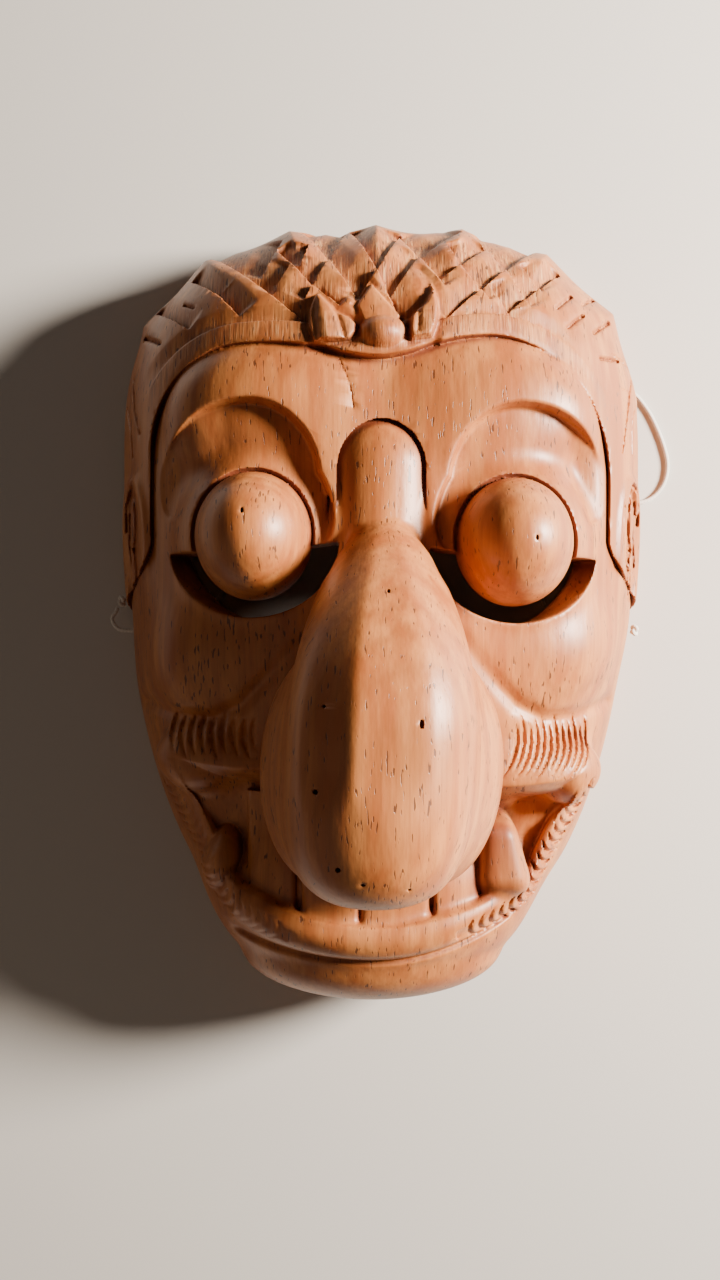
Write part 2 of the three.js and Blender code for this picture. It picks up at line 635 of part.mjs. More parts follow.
// Thins a closed mesh by closing up its edges, the least noticeable first. Each corner carries
// the sum of its faces' squared distances, and moves to where that sum is least.
function thin({ points, faces }, target) {
  const corners = points.length / 3;
  const around = Array.from({ length: corners }, () => new Set());
  const sums = new Float64Array(corners * 10);
  const age = new Int32Array(corners);
  let left = faces.length / 3;

  const normalOf = (a, b, c) => {
    const ux = points[b] - points[a];
    const uy = points[b + 1] - points[a + 1];
    const uz = points[b + 2] - points[a + 2];
    const vx = points[c] - points[a];
    const vy = points[c + 1] - points[a + 1];
    const vz = points[c + 2] - points[a + 2];
    return [uy * vz - uz * vy, uz * vx - ux * vz, ux * vy - uy * vx];
  };
  for (let f = 0; f < faces.length; f += 3) {
    const [a, b, c] = [faces[f], faces[f + 1], faces[f + 2]];
    const normal = normalOf(a * 3, b * 3, c * 3);
    const area = Math.hypot(...normal);
    const [nx, ny, nz] = area > 0 ? normal.map((n) => n / area) : [0, 0, 0];
    const d = -(nx * points[a * 3] + ny * points[a * 3 + 1] + nz * points[a * 3 + 2]);
    const terms = [nx * nx, nx * ny, nx * nz, nx * d, ny * ny, ny * nz, ny * d, nz * nz, nz * d, d * d];
    for (const v of [a, b, c]) {
      around[v].add(f);
      for (let i = 0; i < 10; i += 1) sums[v * 10 + i] += terms[i] * area;
    }
  }

  const costAt = (q, x, y, z) => q[0] * x * x + 2 * q[1] * x * y + 2 * q[2] * x * z + 2 * q[3] * x
    + q[4] * y * y + 2 * q[5] * y * z + 2 * q[6] * y + q[7] * z * z + 2 * q[8] * z + q[9];

  const plan = (a, b) => {
    const q = new Float64Array(10);
    for (let i = 0; i < 10; i += 1) q[i] = sums[a * 10 + i] + sums[b * 10 + i];
    const mid = [0, 1, 2].map((i) => (points[a * 3 + i] + points[b * 3 + i]) / 2);
    const span = Math.hypot(...[0, 1, 2].map((i) => points[a * 3 + i] - points[b * 3 + i]));
    const det = q[0] * (q[4] * q[7] - q[5] * q[5]) - q[1] * (q[1] * q[7] - q[5] * q[2])
      + q[2] * (q[1] * q[5] - q[4] * q[2]);
    let best = mid;
    const scale = (q[0] + q[4] + q[7]) / 3;
    if (Math.abs(det) > 1e-3 * scale ** 3) {
      const x = -(q[3] * (q[4] * q[7] - q[5] * q[5]) - q[1] * (q[6] * q[7] - q[5] * q[8])
        + q[2] * (q[6] * q[5] - q[4] * q[8])) / det;
      const y = -(q[0] * (q[6] * q[7] - q[8] * q[5]) - q[3] * (q[1] * q[7] - q[5] * q[2])
        + q[2] * (q[1] * q[8] - q[6] * q[2])) / det;
      const z = -(q[0] * (q[4] * q[8] - q[5] * q[6]) - q[1] * (q[1] * q[8] - q[6] * q[2])
        + q[3] * (q[1] * q[5] - q[4] * q[2])) / det;
      if (Math.hypot(x - mid[0], y - mid[1], z - mid[2]) < 1.5 * span) best = [x, y, z];
    }
    const cost = Math.max(costAt(q, ...best), 0) + 1e-4 * span ** 3;
    return { a, b, best, cost, ageA: age[a], ageB: age[b] };
  };

  const neighbours = (v) => {
    const out = new Set();
    for (const f of around[v]) {
      for (let i = 0; i < 3; i += 1) if (faces[f + i] !== v) out.add(faces[f + i]);
    }
    return out;
  };

  const heap = new EdgeHeap();
  for (let v = 0; v < corners; v += 1) {
    for (const other of neighbours(v)) if (other > v) heap.push(plan(v, other));
  }

  // A face may neither turn over nor shrink to a sliver when its corner moves.
  const keepsShape = (v, gone, best) => {
    for (const f of around[v]) {
      const ring = [faces[f], faces[f + 1], faces[f + 2]];
      if (!ring.includes(gone)) {
        const before = normalOf(ring[0] * 3, ring[1] * 3, ring[2] * 3);
        const [p, q, r] = ring.map((w) => (w === v ? best : points.slice(w * 3, w * 3 + 3)));
        const u = [q[0] - p[0], q[1] - p[1], q[2] - p[2]];
        const w = [r[0] - p[0], r[1] - p[1], r[2] - p[2]];
        const after = [u[1] * w[2] - u[2] * w[1], u[2] * w[0] - u[0] * w[2], u[0] * w[1] - u[1] * w[0]];
        const dot = before[0] * after[0] + before[1] * after[1] + before[2] * after[2];
        const sizeAfter = Math.hypot(...after);
        const third = u.map((n, i) => n - w[i]);
        const longest = Math.max(Math.hypot(...u), Math.hypot(...w), Math.hypot(...third));
        const sizeBefore = Math.hypot(...before);
        if (dot < 0.3 * sizeBefore * sizeAfter) return false;
        if (sizeAfter < 0.05 * longest * longest && sizeAfter < sizeBefore) return false;
      }
    }
    return true;
  };

  while (left > target && heap.items.length > 0) {
    const edge = heap.pop();
    const { a, b, best } = edge;
    if (age[a] === edge.ageA && age[b] === edge.ageB && age[a] >= 0 && age[b] >= 0) {
      const near = neighbours(a);
      const shared = [...neighbours(b)].filter((v) => near.has(v));
      if (shared.length === 2 && keepsShape(a, b, best) && keepsShape(b, a, best)) {
        for (let i = 0; i < 3; i += 1) points[a * 3 + i] = best[i];
        for (let i = 0; i < 10; i += 1) sums[a * 10 + i] += sums[b * 10 + i];
        for (const f of around[b]) {
          const ring = [faces[f], faces[f + 1], faces[f + 2]];
          if (ring.includes(a)) {
            for (const v of ring) if (v !== b) around[v].delete(f);
            faces[f] = -1;
            left -= 1;
          } else {
            for (let i = 0; i < 3; i += 1) if (faces[f + i] === b) faces[f + i] = a;
            around[a].add(f);
          }
        }
        around[b].clear();
        age[b] = -1;
        age[a] += 1;
        for (const other of neighbours(a)) heap.push(plan(a, other));
      }
    }
  }

  const kept = [];
  for (let f = 0; f < faces.length; f += 3) {
    if (faces[f] >= 0) kept.push(faces[f], faces[f + 1], faces[f + 2]);
  }
  return { points, faces: kept };
}

const wasm = await Module();
wasm.setup();

function solidOf(geometry) {
  const bare = geometry.clone();
  bare.deleteAttribute('normal');
  bare.deleteAttribute('uv');
  const merged = mergeVertices(bare, 1e-4);
  return new wasm.Manifold(new wasm.Mesh({
    numProp: 3,
    vertProperties: new Float32Array(merged.attributes.position.array),
    triVerts: new Uint32Array(merged.index.array),
  }));
}

function geometryOf(solid) {
  const mesh = solid.getMesh();
  const geometry = new THREE.BufferGeometry();
  geometry.setAttribute('position', new THREE.BufferAttribute(mesh.vertProperties, 3));
  geometry.setIndex(new THREE.BufferAttribute(mesh.triVerts, 1));
  geometry.computeVertexNormals();
  return geometry;
}

function meshSolid({ points, faces }) {
  const geometry = new THREE.BufferGeometry();
  geometry.setAttribute('position', new THREE.Float32BufferAttribute(points, 3));
  geometry.setIndex(faces);
  const packed = mergeVertices(geometry, 1e-5);
  return solidOf(packed);
}

// The carving, cut flat at the rim, arched a little at the temples, and bored for the cord.
function carvedMask() {
  let mask = meshSolid(thin(polygonise(wood, BOX, CELL), MASK_TRIANGLES));
  const floor = new THREE.BoxGeometry(200, 280, 20);
  floor.translate(0, 0, -10);
  mask = mask.subtract(solidOf(floor));
  const arch = new THREE.CylinderGeometry(RIM_ARCH.radius, RIM_ARCH.radius, 200, 96);
  arch.rotateZ(Math.PI / 2);
  arch.translate(0, RIM_ARCH.y, RIM_ARCH.height - RIM_ARCH.radius);
  mask = mask.subtract(solidOf(arch));
  for (const side of [-1, 1]) {
    const bore = new THREE.CylinderGeometry(CORD_HOLE.radius, CORD_HOLE.radius, 30, 10);
    bore.rotateZ(Math.PI / 2);
    bore.translate(side * 78, CORD_HOLE.y, CORD_HOLE.z);
    mask = mask.subtract(solidOf(bore));
  }
  return geometryOf(mask);
}

const mask = new THREE.Mesh(carvedMask(), WOOD);
mask.name = 'carved_mask';

// How far out the side of the mask is at this height, found by halving.
function wallX(side, y, z) {
  let inner = 60;
  let outer = 100;
  while (outer - inner > 0.01) {
    const middle = (inner + outer) / 2;
    if (face(side * middle, y, z) < 0) inner = middle;
    else outer = middle;
  }
  return side * outer;
}

function knotMesh(name, at) {
  const knot = new THREE.Mesh(new THREE.SphereGeometry(KNOT.radius, 10, 7), ELASTIC);
  knot.position.set(...at);
  knot.name = name;
  return knot;
}

const rightWall = wallX(1, CORD_HOLE.y, CORD_HOLE.z);
const leftWall = wallX(-1, CORD_HOLE.y, CORD_HOLE.z);
const knotRight = knotMesh('knot_right', [rightWall + KNOT.gap + KNOT.radius, CORD_HOLE.y, CORD_HOLE.z]);
const endY = CORD_HOLE.y + KNOT.loop;
const endZ = CORD_HOLE.z - KNOT.drop;
const endX = wallX(-1, endY, endZ) - KNOT.gap - KNOT.radius;
const knotLeft = knotMesh('knot_left', [endX, endY, endZ]);

// The cord runs in through the right hole, down to the surface the mask lies on, out under the
// right arch in a slack bow, back in, and across to the left hole, where it ends in a small loop.
const CORD_ROUTE = [
  [rightWall, CORD_HOLE.y, CORD_HOLE.z],
  [rightWall - 5, CORD_HOLE.y, CORD_HOLE.z],
  [64.5, -5.2, 7.2],
  [59.5, -3.9, 4.6],
  [55.2, -1, 2.1],
  [52.3, 3, 1],
  [51, 9.5, CORD.z],
  [52.5, 18, CORD.z],
  [58, 26, CORD.z],
  [66, 31.5, CORD.z],
  [75, 34.8, CORD.z],
  [82.3, 35.2, CORD.z],
  [86.2, 36.5, CORD.z],
  [89.4, 39.4, CORD.z],
  [91.3, 43.2, CORD.z],
  [91.8, 48, CORD.z],
  [90.6, 53.5, CORD.z],
  [88.3, 59.5, CORD.z],
  [85.4, 65, CORD.z],
  [81.3, 70, CORD.z],
  [76, 73.5, CORD.z],
  [67, 75, CORD.z],
  [55, 72.5, CORD.z],
  [40, 64, CORD.z],
  [22, 53.5, CORD.z],
  [4, 44, CORD.z],
  [-14, 35, CORD.z],
  [-32, 24.5, CORD.z],
  [-46, 12.5, CORD.z],
  [-51.5, 5, 0.9],
  [-56, -0.2, 1.8],
  [-60.5, -3.6, 4.4],
  [-65.5, -5.1, 7.1],
  [-70.5, CORD_HOLE.y, CORD_HOLE.z],
  [leftWall, CORD_HOLE.y, CORD_HOLE.z],
  [leftWall - 3.1, CORD_HOLE.y, CORD_HOLE.z],
  [leftWall - 5.1, CORD_HOLE.y + 0.5, CORD_HOLE.z - 0.2],
  [leftWall - 6.6, CORD_HOLE.y + 2, CORD_HOLE.z - 0.6],
  [leftWall - 7.2, CORD_HOLE.y + 4, CORD_HOLE.z - 1],
  [endX - 1.8, endY - 3.5, endZ + 0.7],
  [endX - 1.3, endY - 2.1, endZ + 0.4],
];

function cordMesh() {
  const circle = [];
  for (let i = 0; i < CORD.sides; i += 1) {
    const turn = (2 * Math.PI * i) / CORD.sides;
    circle.push(new THREE.Vector2(CORD.radius * Math.cos(turn), CORD.radius * Math.sin(turn)));
  }
  const path = new THREE.CatmullRomCurve3(CORD_ROUTE.map((p) => new THREE.Vector3(...p)));
  const geometry = new THREE.ExtrudeGeometry(new THREE.Shape(circle), {
    steps: CORD.steps,
    bevelEnabled: false,
    extrudePath: path,
  });
  const cord = new THREE.Mesh(geometry, ELASTIC);
  cord.name = 'elastic_cord';
  return cord;
}

const group = new THREE.Group();
group.add(mask, cordMesh(), knotRight, knotLeft);
for (const mesh of group.children) {
  mesh.position.y -= MIDDLE_Y;
}

export default group;
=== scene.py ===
import math
from types import SimpleNamespace as Spec

import bpy
import numpy as np
import openvdb
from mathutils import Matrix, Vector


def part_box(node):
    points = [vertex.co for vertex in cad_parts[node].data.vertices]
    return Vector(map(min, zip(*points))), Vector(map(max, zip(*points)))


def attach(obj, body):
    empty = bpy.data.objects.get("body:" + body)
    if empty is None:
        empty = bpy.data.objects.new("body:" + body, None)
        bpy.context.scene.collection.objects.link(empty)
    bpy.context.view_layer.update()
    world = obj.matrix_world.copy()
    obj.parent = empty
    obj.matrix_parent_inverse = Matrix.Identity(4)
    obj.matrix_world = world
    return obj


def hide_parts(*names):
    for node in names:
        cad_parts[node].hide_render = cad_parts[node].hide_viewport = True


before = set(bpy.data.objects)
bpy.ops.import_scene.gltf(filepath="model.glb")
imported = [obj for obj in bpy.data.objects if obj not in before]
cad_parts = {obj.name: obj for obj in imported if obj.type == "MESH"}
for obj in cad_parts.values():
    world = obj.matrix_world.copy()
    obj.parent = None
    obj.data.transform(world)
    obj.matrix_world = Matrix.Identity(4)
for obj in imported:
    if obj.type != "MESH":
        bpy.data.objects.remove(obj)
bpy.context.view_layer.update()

MM = 0.001

# The carving is worked out about the nose's root, and its outline's middle stands at y = 0.
MIDDLE_Y = 1.66

# The outside and the hollow of the mask: a squared dome, widest across y = WIDEST_Y.
WIDEST_Y = 45
OUTSIDE = Spec(half_width=79.8, crown=72, chin=156, height=63)
HOLLOW = Spec(half_width=71.6, crown=64, chin=148, height=50)
DOME_POWER = Spec(up=2.9, down=2.3, across=2.55, out=2.2, round=2.4)
NOSE_ROOM = Spec(at=(0, -18, 42), radii=(14, 26, 24), blend=6)
GOUGE_MARKS = Spec(across=0.55, swing=(1.4, 0.11), along=0.21, drift=(0.7, 0.13), depth=0.35)
JAW_LEAN = Spec(far=1.2, down=(0, 25))
CHIN_LEAN = Spec(far=2.2, down=(72, 100))
RIM_ARCH = Spec(y=52, height=3, radius=206)
RIM_ROUND = 1
CORD_HOLE = Spec(y=-5.5, z=8, radius=1.6)
SIDES_X = 60

# The hairline, and the hair that stands proud of the face.
HAIRLINE = Spec(
    left=Spec(half_width=66, corner=27, top=72.2),
    right=Spec(half_width=64, corner=37, top=74.3),
    sides_meet=20,
    dip=5.5,
    dip_width=17,
    ear_half_width=79,
    ear_y=(-2, 20),
)
HAIR_RELIEF = Spec(height=2.6, low=(-14, 20), side_share=0.2, side=(38, 66))
HAIR_COVE = Spec(depth=0.9, width=4, y=(30, 62))
HAIR_EDGE = Spec(slope=1.2, out=0.1, lean=0.12, round=0.7, blend=0.4)
HAIR_GROOVE = Spec(past=-0.3, half_width=0.6, depth=0.7, top=(56, 66), foot=(-12, -4))
HAIR_BAND = Spec(width=6, height=0.6, edge=0.3)
BAND_STEP = Spec(share=0.62, width=4.5, y=(62, 72), x=(44, 54))
LOZENGES = Spec(height=0.5, lowest_y=55, z=(8, 20))
CROWN_POINTS = Spec(
    fan_y=20, turn=15.4, first=-1.1, height=2.7, sunk=1.2,
    past=(16, 30), z=(0, 12), y=(22, 36),
)

# Cuts that part the hair into lozenges. Each is a crisp edge towards the crown: the wood above it
# is pared down to the cut. Falling cuts drop to the right, and rising cuts drop to the left.
CUT = Spec(depth=1.9, ramp=7, most=2.6, run_out=1.2)
FALLING_CUTS = [
    [(-52.2, 105.6), (-35.5, 90.2), (-21.0, 76.8)],
    [(-54.8, 95.2), (-46.0, 87.7), (-40.0, 80.7)],
    [(-67.0, 88.3), (-55.0, 78.9)],
    [(-29.6, 101.2), (-19.4, 88.4), (-12.5, 82.3)],
    [(-23.6, 110.7), (-15.2, 97.6), (-7.0, 83.9)],
    [(-9.4, 110.4), (-1.8, 93.2), (4.1, 77.4)],
    [(4.4, 106.9), (9.9, 98.7), (16.1, 88.7)],
    [(18.4, 102.3), (21.5, 95.0), (28.4, 84.9)],
    [(25.9, 109.8), (35.0, 93.3), (40.0, 83.7)],
    [(29.5, 88.4), (33.9, 81.1), (34.8, 77.0)],
    [(39.1, 96.8), (43.7, 89.4)],
]
RISING_CUTS = [
    [(-29.0, 105.3), (-33.6, 93.1)],
    [(-9.4, 112.6), (-15.2, 97.6), (-21.3, 84.8)],
    [(-26.1, 95.3), (-30.3, 87.0)],
    [(-21.3, 102.0), (-22.8, 96.4)],
    [(5.2, 107.5), (-1.8, 93.2), (-7.2, 83.9)],
    [(9.9, 98.5), (2.3, 85.3)],
    [(22.3, 108.8), (10.8, 99.0)],
    [(29.2, 102.4), (16.2, 90.9)],
    [(47.8, 108.2), (28.0, 88.8), (17.1, 78.5)],
    [(50.8, 96.2), (33.7, 80.7)],
]
# Small ticks, and the half width and depth of each.
TICK = (0.9, 0.8)
TICKS = [
    [(62.4, 91.9), (57.0, 87.4)],
    [(53.3, 88.9), (48.3, 83.9)],
    [(56.3, 83.1), (51.2, 78.4)],
    [(65.8, 83.8), (59.8, 78.6)],
    [(61.5, 71.1), (68.0, 72.2)],
    [(-70.1, 80.9), (-63.8, 76.4)],
    [(-56.5, 87.0), (-53.3, 85.2)],
]

# The flower over the middle of the forehead.
BOSS = Spec(at=(-0.4, 73.6, 57.6), radii=(7.2, 5.4, 8), blend=0.4)
PETAL = Spec(lowest_y=62, lean=0.25, tip_length=9, round=0.5, blend=0.3)
# Half width and depth of the moat round the petals, and of the furrows on them.
PETAL_MOAT = (1.8, 0.7)
PETAL_FURROW = (1.1, 0.7)
PETALS = [
    Spec(
        outline=[
            (-19.2, 85.2), (-17.6, 86.2), (-13.8, 82.2), (-12.6, 80.2), (-9.2, 78.7),
            (-7, 76.3), (-7, 73.3), (-8.8, 71), (-14.6, 70.2), (-19.2, 70.6), (-20.8, 75.2), (-20.6, 80.6),
        ],
        rib=[(-18.2, 85.6), (-16.2, 79), (-15, 70.8)],
        height=3.3,
        slope=(0.3, 0.16),
        tip=0.8,
    ),
    Spec(
        outline=[
            (10, 93.6), (12.96, 90), (14.7, 86), (15.5, 80.6), (15.1, 76.5), (13.5, 71.6),
            (6.5, 70.8), (6, 74), (6.4, 78.2), (8.4, 80.6), (10.3, 82.5), (11.8, 86), (12, 89.5),
        ],
        rib=[(10.6, 93), (13.9, 86), (14.6, 79), (12.6, 72)],
        height=3.2,
        slope=(0.12, 0.14),
        tip=0.75,
    ),
    Spec(
        outline=[(-7.6, 81.6), (-3.4, 88.6), (4.4, 78.6), (3, 74), (-5, 74)],
        rib=[(-3.4, 88.2), (-1.4, 75)],
        height=1.5,
        slope=(0.1, 0.1),
        tip=0.7,
    ),
]
PETAL_FURROWS = [
    [(-18.7, 82.6), (-18.9, 78), (-18, 71.6)],
    [(-12.9, 79.6), (-11.8, 76), (-10.6, 71.8)],
    [(9.3, 80), (9, 74)],
]

# Brows, the lump between them, lids, eyeballs and slits.
FOREHEAD = Spec(at=(30, 55, 44), radii=(30, 22, 18.5), blend=9)
BROW = Spec(
    x=37.5, y=33.5, left_raise=1.2, inner=20.5, outer=25, height=21.8,
    flare=0.5, flare_y=2, step=4.2, foot=(8, 26), past=(1, 12),
    left_share=0.4, left=(-56, -42), slope=0.9, lean=0.25, round=0.8,
)
LUMP = Spec(at=(-0.7, 38.3, 53), radii=(14.3, 14.2, 12.6), foot_y=14, blend=1.2)
LUMP_CREASE = Spec(width=1.2, depth=2.2, y=(22, 38), round=0.4)
EYE = Spec(
    x=35.3, y={-1: 19.6, 1: 18},
    ball_z=55.5, ball=(15.9, 17.4, 22.5), ball_blend=0.2, gap=1.2, gap_depth=1.9,
    lid_z=45, lid=(23, 25, 20), lid_blend=5,
)
SLIT = Spec(
    x=0.8, y=-1.6, radii=(24, 20.4), round=0.6,
    inner=Spec(x=-20, top_y=-2.2, slope=-0.12),
    outer=Spec(x=0, top_y=-4.6, slope=0.02),
    top_round=0.8, bevel=0.55, bevel_depth=8, bevel_x=(2, 20),
)

# Nose: a bridge that widens into a long drop, with a wing low on each side.
NOSE = Spec(
    apex_y=24.3, length=58, drop=40.4, half_width=24, pear=(1.85, 0.6), end=(3.6, 0.37),
    x=-1, lean=1.8, lean_down=(50, 95), root_z=61, tip_z=84.5,
    steepest=2.5, ridge=(1.65, 2.1), ridge_share=(0.1, 0.9), blend=2.6,
)
WING = Spec(x=-0.5, at=(14.8, -42, 65.5), radii=(17.2, 30.5, 20), blend=8)
NOSE_FLATS = Spec(
    front=Spec(height=0.945, slope=-0.06, rise=1),
    flank=Spec(height=0.9635, slope=0.56, rise=0.83),
    fade=0.12, fade_down=(62, 84), round=1,
)
NOSTRIL = Spec(at=(13, -66, 60), radii=(5, 9, 7), blend=2)

# Cheeks, upper lip, open mouth, lower lip and chin.
CHEEK = Spec(at=(43, -11, 33), radii=(22.5, 21, 21), blend=8)
FOLD = Spec(
    line=[(21, -8), (30, -18), (38, -26.5), (46, -30.4), (56, -30), (68, -26.5)],
    width=2.2,
    depth=(0.8, 1.8),
    along=(8, 24),
)
LIP_PAD = Spec(x=38, y={-1: -41.5, 1: -45.5}, z=37, radii=(26, 14, 16), sides_meet=20, blend=4)
MOUTH = Spec(
    top_y={-1: -44.3, 1: -49.3}, sides_meet=22, top_rise=3.5, top_round=1, lean=0.8,
    half_width=58, taper=0.47, side_slope=0.9, corner=(36, 58),
    bottom_y=-87.5, bottom_rise=7.5, bottom_reach=34, bottom_round=5,
    depth=11, gum_depth=5.5, gum_y=(-76, -64), left_share=0.55, left=(-30, -14), edge=0.3,
)
MUZZLE = Spec(at=(-3, -76, 21), radii=(50, 38, 38.5), blend=8)
CHIN = Spec(at=(-3, -100, 25), radii=(38, 13.6, 25), blend=3)
LOWER_LIP = Spec(
    y=-91.8, sag=Spec(left=10, right=12.5), half_width=40, end_slope=0.4, blend=2.5,
    radius=4.6, thinner=1.3, thinner_x=(18, 34), flat=0.75, sunk=1.7,
)
LIP_BAND = Spec(
    radius=4.1, thinner=1.8, thinner_y=(-64, -50), out=2.2, sunk=2.8, squash=1.2,
    inner_x=30, top_y=-50, end_slope=0.5, blend=1.2,
)
CHIN_CREASE = Spec(
    y=-96.8, rise=Spec(left=7, right=13), half_width=42, fade_x=36, depth=1.4, width=1.2,
)
TEETH = [
    Spec(x=-14.6, bottom=-90, half_width=7.8, sunk=1.5),
    Spec(x=3, bottom=-90, half_width=9.4, sunk=1.5),
    Spec(x=-31.2, bottom=-88, half_width=7.2, sunk=2.4),
    Spec(x=20.2, bottom=-87, half_width=6.4, sunk=2),
]
TOOTH = Spec(top=7, bow=0.5, corner=0.9, corner_share=0.8)
LEFT_TUSK = Spec(at=(-45.5, -71, 30.5), radii=(7.2, 10.5, 15), lean=0.15, taper=0.03)
RIGHT_TUSK = Spec(
    x=(33.6, 31.6), y=(-80.6, -55.8), half_width=(9.4, 4.6), z=37.8, height=14.8,
    squareness=3.4, top_round=8, foot_round=7,
)
TUSK_BLEND = 0.6
POCKET = Spec(at=(42, -59, 45), radii=(8, 7.5, 10))
EAR = Spec(x=73.5, y=18, radii=(5, 20), relief=1.1, rim=1.6)
EAR_HOLLOW = Spec(share=0.7, inside=4, width=1.8)

# Moustache: gouged strokes over the upper lip, bending in at their lower ends.
MOUSTACHE = {
    1: Spec(x=(34.5, 58.5), y=(-29.5, -47), spacing=1.95, depth=1.1, hook=4.0),
    -1: Spec(x=(34.5, 60), y=(-28.5, -41), spacing=3.0, depth=1.2, hook=0.8),
}
STROKE = Spec(
    bow=1.2, hook_power=2.6, lowest=1.2, end_fade=0.6, wander=(0.08, 2.4),
    start=0.06, length=0.92, swell=0.8, half_share=(0.1, 0.32), depth_power=0.6,
)

# Gouge marks in a row round the mouth.
ROPE = Spec(
    line=[
        (61.4, -50.6), (59, -55), (54.6, -62.4), (50.2, -69.4), (46.4, -76),
        (43.9, -80), (40.4, -82.6), (34.6, -85.2), (25.6, -88.4),
    ],
    spacing=3.1, half_width=3.3, bow=0.22, half_share=(0.08, 0.34),
    depth=1.9, low_share=0.65, low=(-86, -74), left_share=0.3,
)
FRONT_Z = 20

# Fine lines cut at the temples and round the ears, each with its half width and depth.
INCISED = [
    ([(75.2, 70.4), (72.6, 64), (70.8, 54.6), (69, 45.4)], 0.6, 0.7),
    ([(76.4, 61.6), (73.6, 56.6), (73.4, 46)], 0.45, 0.4),
    ([(65.8, 73.8), (74.6, 72.2)], 0.45, 0.5),
    ([(69, 64), (72.4, 64.2)], 0.45, 0.4),
    ([(69.6, 30), (69, 22), (70.6, 15.4), (73, 11), (73.4, 5)], 0.5, 0.6),
    ([(69.6, 30), (71.8, 26.6), (72.2, 19.4)], 0.45, 0.5),
    ([(70, 28), (70.4, 21), (73.4, 11.6)], 0.4, 0.4),
    ([(73.6, 37), (76.4, 35), (77.2, 30.6), (76.6, 26)], 0.7, 0.8),
    ([(73.4, 36.6), (72.2, 29.2)], 0.5, 0.5),
    ([(75, 32.4), (75.4, 29), (77, 27)], 0.4, 0.4),
    ([(74.6, 25.6), (76, 13.4)], 0.45, 0.5),
    ([(-73.4, 68.6), (-72.4, 59), (-70, 51)], 0.6, 0.6),
    ([(-76.4, 61), (-73.8, 52.8), (-73, 44.8)], 0.5, 0.5),
    ([(-72.8, 38), (-76.2, 31), (-76.6, 24)], 0.5, 0.5),
    ([(-75, 29), (-75.6, 20), (-74.6, 12)], 0.45, 0.4),
    ([(-70.6, 80), (-67, 77.6)], 0.45, 0.5),
]

# Small holes in the wood: place, radius and how much longer they are along the grain. Then one crack.
HOLE_DEPTH = 2
HOLES = [
    (0.4, 3.2, 0.4, 1),
    (7.6, -27.8, 0.45, 2.6),
    (-14.8, -24, 0.4, 1),
    (-16.8, -43.8, 0.6, 1),
    (-11.5, -61.5, 0.55, 1),
    (-5.8, -65, 0.45, 1),
    (5, -66.5, 0.4, 1),
    (20.5, 10.5, 0.4, 1.4),
    (38.5, 17.5, 0.4, 2),
    (-36.5, 24.5, 0.4, 2),
]
CRACK = Spec(
    line=[(-12.2, 67.3), (-9.9, 61.8), (-8.6, 56.8), (-8.3, 53.2)],
    half_width=0.35,
    depth=0.5,
)

# The mask's mesh: its box, the depth that is worked out in full, and its triangles.
MASK_BOX = ((-84, -120, -3.3), (84, 123, 116))
MASK_REACH = 4.2
MASK_TRIANGLES = 190000
SHARP_ANGLE = 42

# Where the grain is torn by the cuts, and how far away each share of the shelter is looked for: the shelter
# sets how much shade is painted into the wood.
TORN = Spec(cuts=0.9, cuts_gain=1.1, band=0.55, foot=(0.5, 1.5), top=(5.5, 6.5), y=(55, 66))
SHELTER = ((1.2, 0.35), (3, 0.35), (7, 0.3))

# Growth rings stand round the tree's heart. The grain runs along Y: how tightly each kind of streak
# is drawn across, along and through the wood.
HEART = Spec(x=-46, z=-70)
RINGS = Spec(pace=1.5, wander=16, sharp=2.5, share=0.8)
GRAIN = {
    "wander": (0.05, 0.012, 0.05),
    "tone": (0.16, 0.012, 0.16),
    "front_pores": (1.6, 0.26, 0.4),
    "side_pores": (0.4, 0.26, 1.6),
    "crowd": (0.07, 0.05, 0.07),
    "fibres": (1.7, 0.09, 0.25),
    "threads": (1.5, 0.022, 0.5),
    "strokes": (0.42, 0.14, 0.42),
}

# Colours of the wood and of the elastic. The wood's shade tone is shade painted into hollows, and the
# elastic's between tone is shade painted between the strands of its braid.
WOOD_TONES = Spec(
    darker=(0.37, 0.104, 0.024),
    lighter=(0.54, 0.2, 0.054),
    figure=(0.27, 0.08, 0.018),
    torn_light=(0.70, 0.42, 0.2),
    torn_dark=(0.13, 0.045, 0.018),
    # Shade painted into hollows, creases and the open mouth.
    shade=(0.15, 0.026, 0.008),
    pore=(0.085, 0.028, 0.012),
)
# The between tone is shade painted where the braid's strands run low.
ELASTIC_TONES = Spec(clean=(0.80, 0.77, 0.72), soiled=(0.70, 0.66, 0.60), between=(0.42, 0.38, 0.34))

# The cord, in metres: its route is the CAD's own. The strands of its braid raise its surface.
CORD_RADIUS = 0.00065
CORD_BENDS = 900
BRAID = Spec(strand=0.0011, sides=16, height=0.06, cut_end=0.86)
KNOT_BENDS = 160
KNOT_DEPTH = 1.3

# The camera, and the light: its key comes from the right as in the photo.
CAMERA = Spec(at=(-0.00648, -0.01019, 0.370), focal_pixels=1155, photo_height=1280)
FLOOR = Spec(size=6, colour=(0.62, 0.60, 0.57, 1), roughness=0.9)
LIT_POINT = (0, 0, 0.03)
LIGHTS = {
    "key": {"at": (0.62, 0.16, 0.36), "size": 0.2, "power": 31, "colour": (1, 0.89, 0.77)},
    "fill": {"at": (-0.45, -0.35, 0.5), "size": 0.8, "power": 0.5, "colour": (1, 0.66, 0.42)},
}
SKY = Spec(colour=(1, 0.97, 0.93, 1), strength=0.05)


def smoothstep(value, low, high):
    share = np.clip((value - low) / (high - low), 0, 1)
    return share * share * (3 - 2 * share)


def lerp(a, b, share):
    return a + (b - a) * share


def bell(value, width):
    return np.exp(-np.square(value / width))


def join(a, b, width):
    """Smooth join of two forms."""
    near = np.maximum(width - np.abs(a - b), 0) / width
    return np.minimum(a, b) - near * near * width * 0.25


def cut(a, b, width):
    """Takes form b away from form a, with a smooth edge."""
    return -join(-a, b, width)


def both(a, b, width):
    """What two forms share, with a smooth edge."""
    return -join(-a, -b, width)


